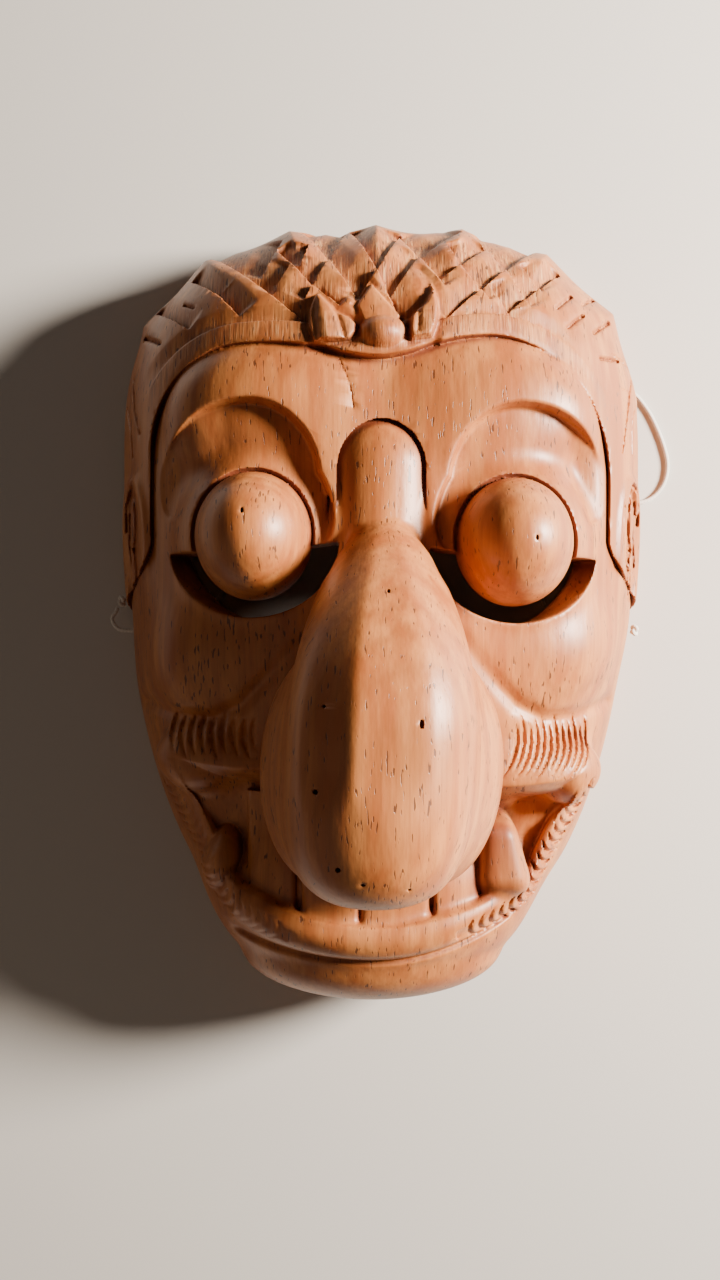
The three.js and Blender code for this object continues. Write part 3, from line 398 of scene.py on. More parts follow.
def sink(form, plan, depth, width=0.6):
    """Lowers the surface by depth wherever the plan measure is negative, with a steep wall."""
    return both(form, join(-plan, form + depth, width), width)


def groove(away, half_width, depth):
    """A V cut: its depth at a distance from its line."""
    return depth * np.clip(1 - away / half_width, 0, 1)


def ellipsoid(x, y, z, at, radii):
    px = (x - at[0]) / radii[0]
    py = (y - at[1]) / radii[1]
    pz = (z - at[2]) / radii[2]
    near = np.sqrt(px * px + py * py + pz * pz)
    slope = np.sqrt((px / radii[0]) ** 2 + (py / radii[1]) ** 2 + (pz / radii[2]) ** 2)
    return near * (near - 1) / np.maximum(slope, 1e-6)


def add_mass(form, x, y, z, mass):
    return join(form, ellipsoid(x, y, z, mass.at, mass.radii), mass.blend)


def ellipse(x, y, radius_x, radius_y):
    near = np.sqrt((x / radius_x) ** 2 + (y / radius_y) ** 2)
    slope = np.sqrt((x / radius_x**2) ** 2 + (y / radius_y**2) ** 2)
    return near * (near - 1) / np.maximum(slope, 1e-6)


def segment(x, y, start, end):
    """Share along a line, side distance (positive on its left) and distance to it."""
    lx = end[0] - start[0]
    ly = end[1] - start[1]
    length = math.hypot(lx, ly)
    share = ((x - start[0]) * lx + (y - start[1]) * ly) / length**2
    side = ((y - start[1]) * lx - (x - start[0]) * ly) / length
    held = np.clip(share, 0, 1)
    away = np.hypot(x - start[0] - held * lx, y - start[1] - held * ly)
    return share, side, away, length


def from_line(x, y, points):
    """Distance, side distance and length along a broken line."""
    best = np.full(x.shape, 1e6, np.float32)
    side = np.zeros(x.shape, np.float32)
    along = np.zeros(x.shape, np.float32)
    done = 0.0
    for start, end in zip(points, points[1:]):
        share, across, away, length = segment(x, y, start, end)
        nearer = away < best
        best = np.where(nearer, away, best)
        side = np.where(nearer, across, side)
        along = np.where(nearer, done + np.clip(share, 0, 1) * length, along)
        done += length
    return best, side, along


def dome(x, y, z, size):
    """The squared dome that both the outside and the hollow follow."""
    up = np.maximum(y - WIDEST_Y, 0) / size.crown
    down = np.maximum(WIDEST_Y - y, 0) / size.chin
    power = DOME_POWER
    total = up ** power.up + down ** power.down + (np.abs(x) / size.half_width) ** power.across
    total = np.maximum(total + (np.abs(z) / size.height) ** power.out, 1e-6)
    return np.sqrt(x * x + (y - WIDEST_Y) ** 2 + z * z) * (1 - total ** (-1 / power.round))


def leaned(x, y):
    """The jaw stands a little to the left, and the chin a little more."""
    jaw = JAW_LEAN.far * smoothstep(-y, *JAW_LEAN.down)
    return x + jaw + CHIN_LEAN.far * smoothstep(-y, *CHIN_LEAN.down)


def past_hairline(x, y):
    """Distance in plan past the hairline: positive in the hair, negative on the face."""
    left = HAIRLINE.left
    right = HAIRLINE.right
    corner = np.where(x < 0, left.corner, right.corner).astype(np.float32)
    half = np.where(x < 0, left.half_width, right.half_width).astype(np.float32)
    half = lerp(half, HAIRLINE.ear_half_width, 1 - smoothstep(y, *HAIRLINE.ear_y))
    top = lerp(left.top, right.top, smoothstep(x, -HAIRLINE.sides_meet, HAIRLINE.sides_meet))
    top = top - HAIRLINE.dip * bell(x, HAIRLINE.dip_width)
    qx = np.abs(x) - (half - corner)
    qy = y - (top - corner)
    return np.hypot(np.maximum(qx, 0), np.maximum(qy, 0)) + np.minimum(np.maximum(qx, qy), 0) - corner


def ramp_below_cut(x, y, points, crown_side):
    """How far the wood is pared down on the crown side of one cut."""
    pared = np.zeros(x.shape, np.float32)
    for start, end in zip(points, points[1:]):
        share, side, _, length = segment(x, y, start, end)
        side = side * crown_side
        outside = np.maximum(np.maximum(-share, share - 1) * length, 0)
        slope = np.clip(1 - side / CUT.ramp, 0, 1) * (side > 0)
        pared = np.maximum(pared, slope * np.clip(1 - outside / CUT.run_out, 0, 1))
    return pared


def pared_hair(x, y):
    """How far the hair is pared down by its cuts and ticks."""
    pared = np.zeros(x.shape, np.float32)
    for points in FALLING_CUTS:
        pared += ramp_below_cut(x, y, points, 1)
    for points in RISING_CUTS:
        pared += ramp_below_cut(x, y, points, 1 if points[0][0] < points[-1][0] else -1)
    for points in TICKS:
        pared = np.maximum(pared, groove(from_line(x, y, points)[0], *TICK))
    return pared


def hair_height(x, y, z, past):
    """Height of the hair over the face, and how far it is pared down.

    A plain band comes first, then the lozenges up to the crown's points.
    """
    band = HAIR_BAND.width
    lattice = smoothstep(past, band - HAIR_BAND.edge, band + HAIR_BAND.edge)
    turn = np.degrees(np.arctan2(x, y - CROWN_POINTS.fan_y))
    peak = 1 - np.abs(np.sin(np.pi * (turn - CROWN_POINTS.first) / CROWN_POINTS.turn))
    crown = (CROWN_POINTS.height * peak - CROWN_POINTS.sunk) * smoothstep(past, *CROWN_POINTS.past)
    crown = crown * smoothstep(z, *CROWN_POINTS.z) * smoothstep(y, *CROWN_POINTS.y)
    pared = np.zeros(x.shape, np.float32)
    near = (past > band - 1) & (y > LOZENGES.lowest_y)
    pared[near] = pared_hair(x[near], y[near])
    step = np.clip(1 - (past - band) / BAND_STEP.width, 0, 1)
    step = step * smoothstep(y, *BAND_STEP.y) * (1 - smoothstep(x, *BAND_STEP.x))
    pared = np.maximum(pared, BAND_STEP.share * step)
    shown = lattice * smoothstep(z, *LOZENGES.z)
    plain = HAIR_BAND.height * (1 - lattice) + LOZENGES.height * lattice
    return plain - np.minimum(pared * CUT.depth, CUT.most) * shown + crown, pared * shown


def inside_outline(x, y, points):
    """Distance to a closed outline: negative inside it."""
    ring = points + points[:1]
    away = from_line(x, y, ring)[0]
    within = np.zeros(x.shape, bool)
    for (ax, ay), (bx, by) in zip(ring, ring[1:]):
        crosses = (ay > y) != (by > y)
        within ^= crosses & (x < ax + (bx - ax) * (y - ay) / (by - ay if by != ay else 1))
    return np.where(within, -away, away)


def flower(x, y, z, shell, form):
    """A round boss with three petals in the hair, each higher along its rib, in a shallow moat."""
    for petal in PETALS:
        form = form + groove(inside_outline(x, y, petal.outline), *PETAL_MOAT)
    furrowed = sum(groove(from_line(x, y, line)[0], *PETAL_FURROW) for line in PETAL_FURROWS)
    form = add_mass(form, x, y, z, BOSS)
    for petal in PETALS:
        edge = inside_outline(x, y, petal.outline)
        away, side, along = from_line(x, y, petal.rib)
        left, right = petal.slope
        height = petal.height - np.where(side > 0, right, left) * away
        height = height * lerp(petal.tip, 1, smoothstep(along, 0, PETAL.tip_length)) - furrowed
        raised = both(edge + PETAL.lean * (shell + height), shell - height, PETAL.round)
        form = join(form, raised, PETAL.blend)
    return form


def brow_step(form, x, y, side, past):
    """The forehead ends in a step over each eye, and its inner arm runs down beside the nose."""
    bx = x * side - BROW.x
    by = y - BROW.y - (BROW.left_raise if side < 0 else 0)
    bx = bx + BROW.flare * np.maximum(BROW.flare_y - by, 0) * (bx < 0)
    reach = np.where(bx < 0, BROW.inner, BROW.outer).astype(np.float32)
    plan = ellipse(bx, by, reach, BROW.height)
    depth = BROW.step * smoothstep(y, *BROW.foot) * smoothstep(-past, *BROW.past)
    depth = depth * lerp(BROW.left_share, 1, smoothstep(x, *BROW.left))
    wall = -plan * BROW.slope + form * BROW.lean
    return both(form, join(form + depth, wall, BROW.round), BROW.round)


def slit_and_ball(form, x, y, z, side):
    """A see-through slit round the lower half of an eyeball, and a fine gap round the upper half."""
    cy = EYE.y[side]
    ex = x * side - EYE.x
    ey = y - cy
    ends = (SLIT.inner, SLIT.outer)
    top = np.where(ex < 0, *(end.top_y + end.slope * (ex - end.x) for end in ends))
    bevel = SLIT.bevel * np.clip(-form, 0, SLIT.bevel_depth) * smoothstep(ex, *SLIT.bevel_x)
    plan = ellipse(ex - SLIT.x, ey - SLIT.y, *SLIT.radii) + bevel
    plan = both(plan, ey - top, SLIT.top_round)
    ball = ellipsoid(x, y, z, (side * EYE.x, cy, EYE.ball_z), EYE.ball)
    form = form + groove(np.abs(ball), EYE.gap, EYE.gap_depth)
    return join(both(form, -plan, SLIT.round), ball, EYE.ball_blend)


def nose_half_width(down):
    """Half width of the nose at a distance down from its apex: a long pear with a round end."""
    share = np.clip(down / NOSE.length, 0, 1)
    swell, root = NOSE.pear
    pear = (1 - (1 - share) ** swell) ** root
    blunt, close = NOSE.end
    past_widest = np.maximum(down - NOSE.length, 0) / NOSE.drop
    return NOSE.half_width * pear * np.maximum(1 - past_widest**blunt, 0) ** close


def nose(x, y, z):
    down = NOSE.apex_y - y
    share = np.clip(down / NOSE.length, 0, 1)
    half = nose_half_width(down)
    widening = nose_half_width(down + 0.5) - nose_half_width(down - 0.5)
    widening = np.clip(widening, -NOSE.steepest, NOSE.steepest)
    lean = smoothstep(down, *NOSE.lean_down)
    across = x - NOSE.x * share + NOSE.lean * lean
    above = z - lerp(NOSE.root_z, NOSE.tip_z, share * (2 - share))
    beyond = np.maximum(np.maximum(-down, down - NOSE.length - NOSE.drop), 0)
    ridge = lerp(*NOSE.ridge, smoothstep(share, *NOSE.ridge_share))
    away = (np.abs(across) ** ridge + np.abs(above) ** ridge + beyond**ridge) ** (1 / ridge)
    form = (away - half) / np.sqrt(1 + widening * widening)
    form = add_mass(form, np.abs(x - WING.x + lean), y, z, WING)
    fade = NOSE_FLATS.fade * smoothstep(down, *NOSE_FLATS.fade_down)
    for flat in (NOSE_FLATS.front, NOSE_FLATS.flank):
        outside = flat.rise * above - flat.slope * across - (flat.height + fade) * half
        form = cut(form, -outside, NOSE_FLATS.round)
    return form


def mouth_top(x):
    share = smoothstep(x, -MOUTH.sides_meet, MOUTH.sides_meet)
    return lerp(*MOUTH.top_y.values(), share) + MOUTH.top_rise * (x / MOUTH.half_width) ** 4


def mouth_bottom(x):
    return MOUTH.bottom_y + MOUTH.bottom_rise * np.minimum(np.abs(x) / MOUTH.bottom_reach, 1) ** 2


def mouth_plan(x, y, skin):
    """Plan of the open mouth: negative inside it. Its upper wall slopes in under the lip."""
    down = mouth_top(x) - y
    side = MOUTH.side_slope * (np.abs(x) - MOUTH.half_width + MOUTH.taper * down)
    plan = cut(side, y - mouth_bottom(x), MOUTH.bottom_round)
    return cut(plan, down + MOUTH.lean * np.minimum(skin, 0), MOUTH.top_round)


def teeth(x, y, skin):
    """The teeth, a little below the skin that the mouth is sunk from."""
    out = np.full(x.shape, np.inf, np.float32)
    share = TOOTH.corner_share
    for tooth in TEETH:
        side = np.abs(x - tooth.x) / tooth.half_width
        plan = np.maximum((side - 1) * tooth.half_width, tooth.bottom - y)
        plan = np.maximum(plan, y - mouth_top(x) + TOOTH.top)
        corner = TOOTH.corner * (np.maximum(side - share, 0) / (1 - share)) ** 2
        out = np.minimum(out, np.maximum(plan, skin + tooth.sunk + (TOOTH.bow * side**2 + corner)))
    return out


def tusks(x, y, z):
    """A small round tusk on the left, and on the right a broad one that narrows upwards."""
    tusk = LEFT_TUSK
    up = y - tusk.at[1]
    across = (x - tusk.at[0] - tusk.lean * up) * (1 + tusk.taper * np.maximum(up, 0))
    left = ellipsoid(across, up, z - tusk.at[2], (0, 0, 0), tusk.radii)
    tusk = RIGHT_TUSK
    foot, top = tusk.y
    share = np.clip((y - foot) / (top - foot), 0, 1)
    half = lerp(*tusk.half_width, share)
    across = np.abs(x - lerp(*tusk.x, share)) / half
    above = np.abs(z - tusk.z) / tusk.height
    power = tusk.squareness
    right = ((across**power + above**power) ** (1 / power) - 1) * half
    right = both(both(right, y - top, tusk.top_round), foot - y, tusk.foot_round)
    return np.minimum(left, right)


def moustache(x, y, side):
    """Depth of the gouged strokes on one side of the upper lip: widest and deepest half way down."""
    strokes = MOUSTACHE[side]
    top, bottom = strokes.y
    drop = (top - y) / (top - bottom)
    down = np.clip(drop, 0, STROKE.lowest)
    bow = STROKE.bow * np.sin(np.pi * np.minimum(down, 1))
    lead = np.abs(x) + strokes.hook * down ** STROKE.hook_power - bow
    phase = lead / strokes.spacing
    first, last = strokes.x
    fade = STROKE.end_fade
    shown = smoothstep(lead, first, first + fade) * (1 - smoothstep(lead, last - fade, last))
    far, pace = STROKE.wander
    wander = far * np.sin(np.floor(phase) * pace)
    run = np.clip((drop - STROKE.start + wander) / STROKE.length, 0, 1)
    body = np.maximum(np.sin(np.pi * run ** STROKE.swell), 0)
    thin, wide = STROKE.half_share
    mark = np.clip(1 - np.abs(phase % 1 - 0.5) / (thin + wide * body), 0, 1)
    return strokes.depth * mark * body ** STROKE.depth_power * shown * (x * side > 0)


def rope(xs, y):
    """Depth of the row of crescent gouge marks round the mouth."""
    away, side, along = from_line(np.abs(xs), y, ROPE.line)
    phase = (along + ROPE.bow * side * side) / ROPE.spacing
    body = np.clip(1 - (side / ROPE.half_width) ** 2, 0, 1)
    thin, wide = ROPE.half_share
    mark = np.clip(1 - np.abs(phase % 1 - 0.5) / (thin + wide * body), 0, 1)
    depth = np.where(xs > 0, ROPE.depth, ROPE.depth * ROPE.left_share)
    depth = depth * lerp(ROPE.low_share, 1, smoothstep(y, *ROPE.low))
    return depth * mark * body**0.5 * (away < ROPE.half_width)


def ear(x, y):
    """Height of the ears: a raised rim round a shallow hollow."""
    plan = ellipse(np.abs(x) - EAR.x, y - EAR.y, *EAR.radii)
    dip = EAR_HOLLOW.share * bell(plan + EAR_HOLLOW.inside, EAR_HOLLOW.width)
    return EAR.relief * (bell(plan, EAR.rim) - dip)


def brows_and_cheeks(x, y, z, xs, past, shell):
    """The main masses of the face: forehead, brows, lids and cheeks, and the lump between the brows."""
    ax = np.abs(xs)
    relief = HAIR_RELIEF.height * smoothstep(y, *HAIR_RELIEF.low)
    form = shell + relief * lerp(HAIR_RELIEF.side_share, 1, smoothstep(y, *HAIR_RELIEF.side))
    for mass, across in ((FOREHEAD, np.abs(x)), (MUZZLE, x), (CHEEK, ax)):
        form = add_mass(form, across, y, z, mass)
    pad = LIP_PAD
    pad_y = lerp(*pad.y.values(), smoothstep(x, -pad.sides_meet, pad.sides_meet))
    form = join(form, ellipsoid(ax, y - pad_y, z, (pad.x, 0, pad.z), pad.radii), pad.blend)
    fold, _, along = from_line(ax, y, FOLD.line)
    form = form + lerp(*FOLD.depth, smoothstep(along, *FOLD.along)) * bell(fold, FOLD.width)
    for side in (-1, 1):
        form = brow_step(form, x, y, side, past)
        lid = ellipsoid(x, y, z, (side * EYE.x, EYE.y[side], EYE.lid_z), EYE.lid)
        form = join(form, lid, EYE.lid_blend)
    form = form + HAIR_COVE.depth * bell(past, HAIR_COVE.width) * smoothstep(y, *HAIR_COVE.y)
    straight = np.clip(y, LUMP.foot_y, LUMP.at[1])
    lump = ellipsoid(x, y - straight + LUMP.at[1], z, LUMP.at, LUMP.radii)
    bottom = form + LUMP_CREASE.depth * smoothstep(y, *LUMP_CREASE.y)
    crease = join(LUMP_CREASE.width - lump, bottom, LUMP_CREASE.round)
    return join(both(form, crease, LUMP_CREASE.round), lump, LUMP.blend)


def mouth_and_chin(form, x, y, z, xs):
    """The mouth is sunk before its teeth, tusks, lips and chin are added."""
    ax = np.abs(xs)
    skin = form
    opening = mouth_plan(xs, y, skin)
    depth = lerp(MOUTH.gum_depth, MOUTH.depth, smoothstep(y, *MOUTH.gum_y))
    depth = depth * (1 - smoothstep(ax, *MOUTH.corner))
    depth = depth * lerp(MOUTH.left_share, 1, smoothstep(xs, *MOUTH.left))
    form = sink(form, opening, depth, MOUTH.edge)
    form = np.minimum(form, teeth(x, y, skin))
    pocket = ellipsoid(x, y, z, POCKET.at, POCKET.radii)
    form = np.maximum(form, np.minimum(-pocket, -opening))
    form = join(form, tusks(x, y, z), TUSK_BLEND)

    band = LIP_BAND
    radius = band.radius - band.thinner * smoothstep(y, *band.thinner_y)
    strip = np.hypot(opening - band.out, (skin + band.sunk) * band.squash) - radius
    ends = np.maximum(band.inner_x - ax, y - band.top_y)
    form = join(form, np.maximum(strip, band.end_slope * ends), band.blend)

    lip = LOWER_LIP
    sag = np.where(xs > 0, lip.sag.right, lip.sag.left)
    lip_y = lip.y + sag * (xs / lip.half_width) ** 2
    radius = lip.radius - lip.thinner * smoothstep(xs, *lip.thinner_x)
    roll = np.hypot((y - lip_y) * lip.flat, skin + lip.sunk) - radius
    form = join(form, np.maximum(roll, (ax - lip.half_width) * lip.end_slope), lip.blend)
    form = add_mass(form, x, y, z, CHIN)

    crease = CHIN_CREASE
    rise = np.where(xs > 0, crease.rise.right, crease.rise.left)
    crease_y = crease.y + rise * (xs / crease.half_width) ** 2
    fade = 1 - smoothstep(ax, crease.fade_x, crease.half_width)
    return form + crease.depth * bell(y - crease_y, crease.width) * fade


def hair_and_ears(form, x, y, z, past, shell):
    """Hair, flower and ears stand on the shell outside the hairline."""
    height, _ = hair_height(x, y, z, past)
    edge = -past * HAIR_EDGE.slope - HAIR_EDGE.out + HAIR_EDGE.lean * shell
    hair = both(shell - height - ear(x, y), edge, HAIR_EDGE.round)
    form = join(form, hair, HAIR_EDGE.blend)
    line = groove(np.abs(past - HAIR_GROOVE.past), HAIR_GROOVE.half_width, HAIR_GROOVE.depth)
    form = form + line * (1 - smoothstep(y, *HAIR_GROOVE.top)) * smoothstep(y, *HAIR_GROOVE.foot)
    return np.where(y > PETAL.lowest_y, flower(x, y, z, shell, form), form)


def holes_and_lines(form, x, y):
    """Small holes, one crack, and the lines cut at the temples and ears."""
    for hx, hy, radius, tall in HOLES:
        form = np.maximum(form, np.minimum(radius - np.hypot(x - hx, (y - hy) / tall), form + HOLE_DEPTH))
    form = form + groove(from_line(x, y, CRACK.line)[0], CRACK.half_width, CRACK.depth)
    sides = np.abs(x) > SIDES_X
    if sides.any():
        form[sides] += sum(groove(from_line(x[sides], y[sides], line)[0], *size) for line, *size in INCISED)
    return form


def face(x, y, z, fine=True):
    """The whole face in front of the hollow: negative in the wood."""
    xs = leaned(x, y)
    past = past_hairline(x, y)
    shell = dome(xs, y, z, OUTSIDE)
    form = brows_and_cheeks(x, y, z, xs, past, shell)
    form = mouth_and_chin(form, x, y, z, xs)
    if fine:
        front = z > FRONT_Z
        form = form + rope(xs, y) * front
        for side in (-1, 1):
            form = form + moustache(x, y, side) * front
    form = hair_and_ears(form, x, y, z, past, shell)
    form = join(form, nose(x, y, z), NOSE.blend)
    form = cut(form, ellipsoid(np.abs(x), y, z, NOSTRIL.at, NOSTRIL.radii), NOSTRIL.blend)
    for side in (-1, 1):
        form = slit_and_ball(form, x, y, z, side)
    return holes_and_lines(form, x, y) if fine else form


def hollow(x, y, z):
    """The inside, with room for the nose and gouge marks all over."""
    room = ellipsoid(x, y, z, NOSE_ROOM.at, NOSE_ROOM.radii)
    inner = join(dome(leaned(x, y), y, z, HOLLOW), room, NOSE_ROOM.blend)
    marks = GOUGE_MARKS
    swing = marks.swing[0] * np.sin(y * marks.swing[1])
    drift = marks.drift[0] * np.sin(x * marks.drift[1])
    scoop = np.sin(x * marks.across + swing) * np.sin(y * marks.along + drift)
    return inner + marks.depth * scoop


def wood(x, y, z):
    """The whole mask, with its flat rim, the rim's arched sides and the cord's two holes."""
    form = np.maximum(face(x, y, z), -hollow(x, y, z))
    form = both(form, -z, RIM_ROUND)
    arch = RIM_ARCH.radius - np.hypot(y - RIM_ARCH.y, z - RIM_ARCH.height + RIM_ARCH.radius)
    form = np.maximum(form, arch)
    bore = np.hypot(y - CORD_HOLE.y, z - CORD_HOLE.z) - CORD_HOLE.radius
    return np.where(np.abs(x) > SIDES_X, np.maximum(form, -bore), form)


def wall_x(side, y, z):
    """How far out the side of the mask is at one height, found by halving."""
    inner, outer = 60.0, 100.0
    while outer - inner > 0.01:
        middle = (inner + outer) / 2
        at = (np.array([value], np.float32) for value in (side * middle, y, z))
        if face(*at, fine=False)[0] < 0:
            inner = middle
        else:
            outer = middle
    return side * outer


def in_parts(field, x, y, z, size=400000):
    out = np.empty(len(x), np.float32)
    for start in range(0, len(x), size):
        part = slice(start, start + size)
        out[part] = field(x[part], y[part], z[part])
    return out


def sample_grid(field, low, high, voxel, reach):
    """Values of the field on a grid, worked out in full only near its surface."""
    block = 4
    count = [int(math.ceil((b - a) / (voxel * block))) for a, b in zip(low, high)]
    axes = [np.float32(a + (np.arange(n) * block + (block - 1) / 2) * voxel) for a, n in zip(low, count)]
    grid = np.meshgrid(*axes, indexing="ij")
    coarse = in_parts(field, *(g.ravel() for g in grid)).reshape(count)
    values = coarse.repeat(block, 0).repeat(block, 1).repeat(block, 2)
    near = (np.abs(coarse) < reach).repeat(block, 0).repeat(block, 1).repeat(block, 2)
    i, j, k = np.nonzero(near)
    place = [np.float32(a + n * voxel) for a, n in zip(low, (i, j, k))]
    values[i, j, k] = in_parts(field, *place)
    return np.clip(values, -3 * voxel, 3 * voxel)


def onto_surface(field, p, voxel):
    """Moves points that are nearly on a surface onto it, and gives the surface's slopes there."""
    value = in_parts(field, *p.T)
    slope = np.empty_like(p)
    step = 0.15
    for axis in range(3):
        shift = np.zeros(3, np.float32)
        shift[axis] = step
        slope[:, axis] = (in_parts(field, *(p + shift).T) - value) / step
    size = np.maximum((slope * slope).sum(1), 0.05)
    move = -(value / size)[:, None] * slope
    far = np.linalg.norm(move, axis=1, keepdims=True)
    return p + move * np.minimum(1, 0.7 * voxel / np.maximum(far, 1e-6)), slope


def carve(field, low, high, voxel, reach, triangles, name):
    """A mesh of the surface where the field is zero, drawn finely and thinned to a triangle count."""
    grid = openvdb.FloatGrid(background=3 * voxel)
    grid.copyFromArray(sample_grid(field, low, high, voxel, reach))
    points, _, quads = grid.convertToPolygons(isovalue=0.0, adaptivity=0.0)
    p = np.float32(points * voxel + np.array(low))
    p, slope = onto_surface(field, p, voxel)
    a, b, c = p[quads[:, 0]], p[quads[:, 1]], p[quads[:, 2]]
    if (np.cross(b - a, c - a) * slope[quads[:, 0]]).sum() < 0:
        quads = quads[:, ::-1]
    mesh = bpy.data.meshes.new(name)
    p[:, 1] -= MIDDLE_Y
    mesh.from_pydata(np.float64(p * MM).tolist(), [], quads.tolist())
    obj = bpy.data.objects.new(name, mesh)
    bpy.context.scene.collection.objects.link(obj)
    thin = obj.modifiers.new("thin", "DECIMATE")
    thin.ratio = triangles / (2 * len(quads))
    thin.use_collapse_triangulate = True
    choose(obj)
    bpy.ops.object.modifier_apply(modifier=thin.name)
    return obj


def choose(obj):
    for other in list(bpy.context.selected_objects):
        other.select_set(False)
    obj.select_set(True)
    bpy.context.view_layer.objects.active = obj


def per_vertex(values, name):
    flat = np.empty(len(values) * 3, np.float32)
    values.foreach_get(name, flat)
    return flat.reshape(-1, 3)


def paint(obj, name, values):
    layer = obj.data.attributes.new(name, "FLOAT", "POINT")
    layer.data.foreach_set("value", np.float32(values))


def sheltered(field, p, normals):
    """How shut in each place is: 0 in the open, 1 deep in a hollow. The wood gets painted shade, and a
    rougher finish, as deep as this.
    """
    shut = np.zeros(len(p), np.float32)
    for distance, share in SHELTER:
        room = in_parts(field, *(p + normals * distance).T)
        shut += share * np.clip(1 - room / distance, 0, 1)
    return shut


class Nodes:
    """Short hand for adding and linking shader nodes."""

    def __init__(self, tree):
        self.tree = tree

    def add(self, kind, inputs=None, **settings):
        node = self.tree.nodes.new(kind)
        for key, value in settings.items():
            setattr(node, key, value)
        for key, value in (inputs or {}).items():
            if isinstance(value, bpy.types.NodeSocket):
                self.tree.links.new(value, node.inputs[key])
            else:
                node.inputs[key].default_value = value
        return node

    def math(self, operation, a, b=0.0, c=0.0):
        node = self.add("ShaderNodeMath", {0: a, 1: b, 2: c}, operation=operation)
        return node.outputs[0]

    def mix(self, share, a, b):
        a, b = (side if isinstance(side, bpy.types.NodeSocket) else (*side, 1) for side in (a, b))
        return self.add("ShaderNodeMix", {"Factor": share, 6: a, 7: b}, data_type="RGBA").outputs[2]

    def band(self, value, low, high, start=0.0, end=1.0):
        inputs = {"Value": value, "From Min": low, "From Max": high, "To Min": start, "To Max": end}
        return self.add("ShaderNodeMapRange", inputs, interpolation_type="SMOOTHSTEP").outputs[0]

    def noise(self, place, detail=2.0, rough=0.5, scale=1.0):
        inputs = {"Vector": place, "Scale": scale, "Detail": detail, "Roughness": rough}
        return self.add("ShaderNodeTexNoise", inputs).outputs["Fac"]

    def stretch(self, place, scale, offset=(0, 0, 0)):
        return self.add("ShaderNodeMapping", {"Vector": place, "Scale": scale, "Location": offset}).outputs[0]

    def surface(self, height, strength, distance, inputs):
        """The finish, with its fine relief, joined to the output."""
        bump = self.add("ShaderNodeBump", {"Height": height, "Strength": strength, "Distance": distance})
        shader = self.add("ShaderNodeBsdfPrincipled", {"Normal": bump.outputs[0], **inputs})
        self.add("ShaderNodeOutputMaterial", {"Surface": shader.outputs[0]})


def grain_group():
    """Hardwood grain along Y: growth figure, long tone, open pores and torn fibres."""
    tree = bpy.data.node_groups.new("hardwood_grain", "ShaderNodeTree")
    tree.interface.new_socket("Millimetres", in_out="INPUT", socket_type="NodeSocketVector")
    for label in ("Figure", "Tone", "Pores", "Fibres"):
        tree.interface.new_socket(label, in_out="OUTPUT", socket_type="NodeSocketFloat")
    nodes = Nodes(tree)
    place = nodes.add("NodeGroupInput").outputs["Millimetres"]

    def streaks(kind, offset=(0, 0, 0), **settings):
        return nodes.noise(nodes.stretch(place, GRAIN[kind], offset), **settings)

    wander = streaks("wander", detail=2)
    parts = nodes.add("ShaderNodeSeparateXYZ", {0: place})
    across = nodes.math("POWER", nodes.math("ADD", parts.outputs["X"], -HEART.x), 2.0)
    through = nodes.math("POWER", nodes.math("ADD", parts.outputs["Z"], -HEART.z), 2.0)
    from_heart = nodes.math("SQRT", nodes.math("ADD", across, through))
    pace = nodes.math("MULTIPLY", from_heart, RINGS.pace)
    phase = nodes.math("ADD", pace, nodes.math("MULTIPLY", wander, RINGS.wander))
    wave = nodes.math("MULTIPLY_ADD", nodes.math("SINE", phase), 0.5, 0.5)
    figure = nodes.math("MULTIPLY", nodes.math("POWER", wave, RINGS.sharp), RINGS.share)
    tone = streaks("tone", detail=3, rough=0.6)

    # Pores are drawn on the front and on the sides apart, so that they keep their length on both.
    facing = nodes.add("ShaderNodeSeparateXYZ", {0: nodes.add("ShaderNodeNewGeometry").outputs["Normal"]})
    sideways = nodes.band(nodes.math("ABSOLUTE", facing.outputs["X"]), 0.6, 0.8)
    on_front = streaks("front_pores", detail=1, rough=0.4)
    on_side = streaks("side_pores", (5, 1, 9), detail=1, rough=0.4)
    change = nodes.math("MULTIPLY", sideways, nodes.math("SUBTRACT", on_side, on_front))
    dashes = nodes.math("ADD", on_front, change)
    crowd = streaks("crowd", (3, 7, 2), detail=1)
    limit = nodes.math("MULTIPLY_ADD", crowd, -0.2, 0.77)
    pores = nodes.band(nodes.math("SUBTRACT", dashes, limit), 0.0, 0.045)

    fibres = streaks("fibres", (11, 5, 3), detail=3, rough=0.62)
    threads = streaks("threads", (2, 9, 4), detail=2, rough=0.55)
    figure = nodes.math("MULTIPLY_ADD", nodes.band(threads, 0.5, 0.34), 0.8, figure)
    nodes.add("NodeGroupOutput", {"Figure": figure, "Tone": tone, "Pores": pores, "Fibres": fibres})
    return tree


def new_material(name):
    material = bpy.data.materials.new(name)
    material.use_nodes = True
    material.node_tree.nodes.clear()
    nodes = Nodes(material.node_tree)
    return material, nodes, nodes.add("ShaderNodeTexCoord").outputs["Object"]


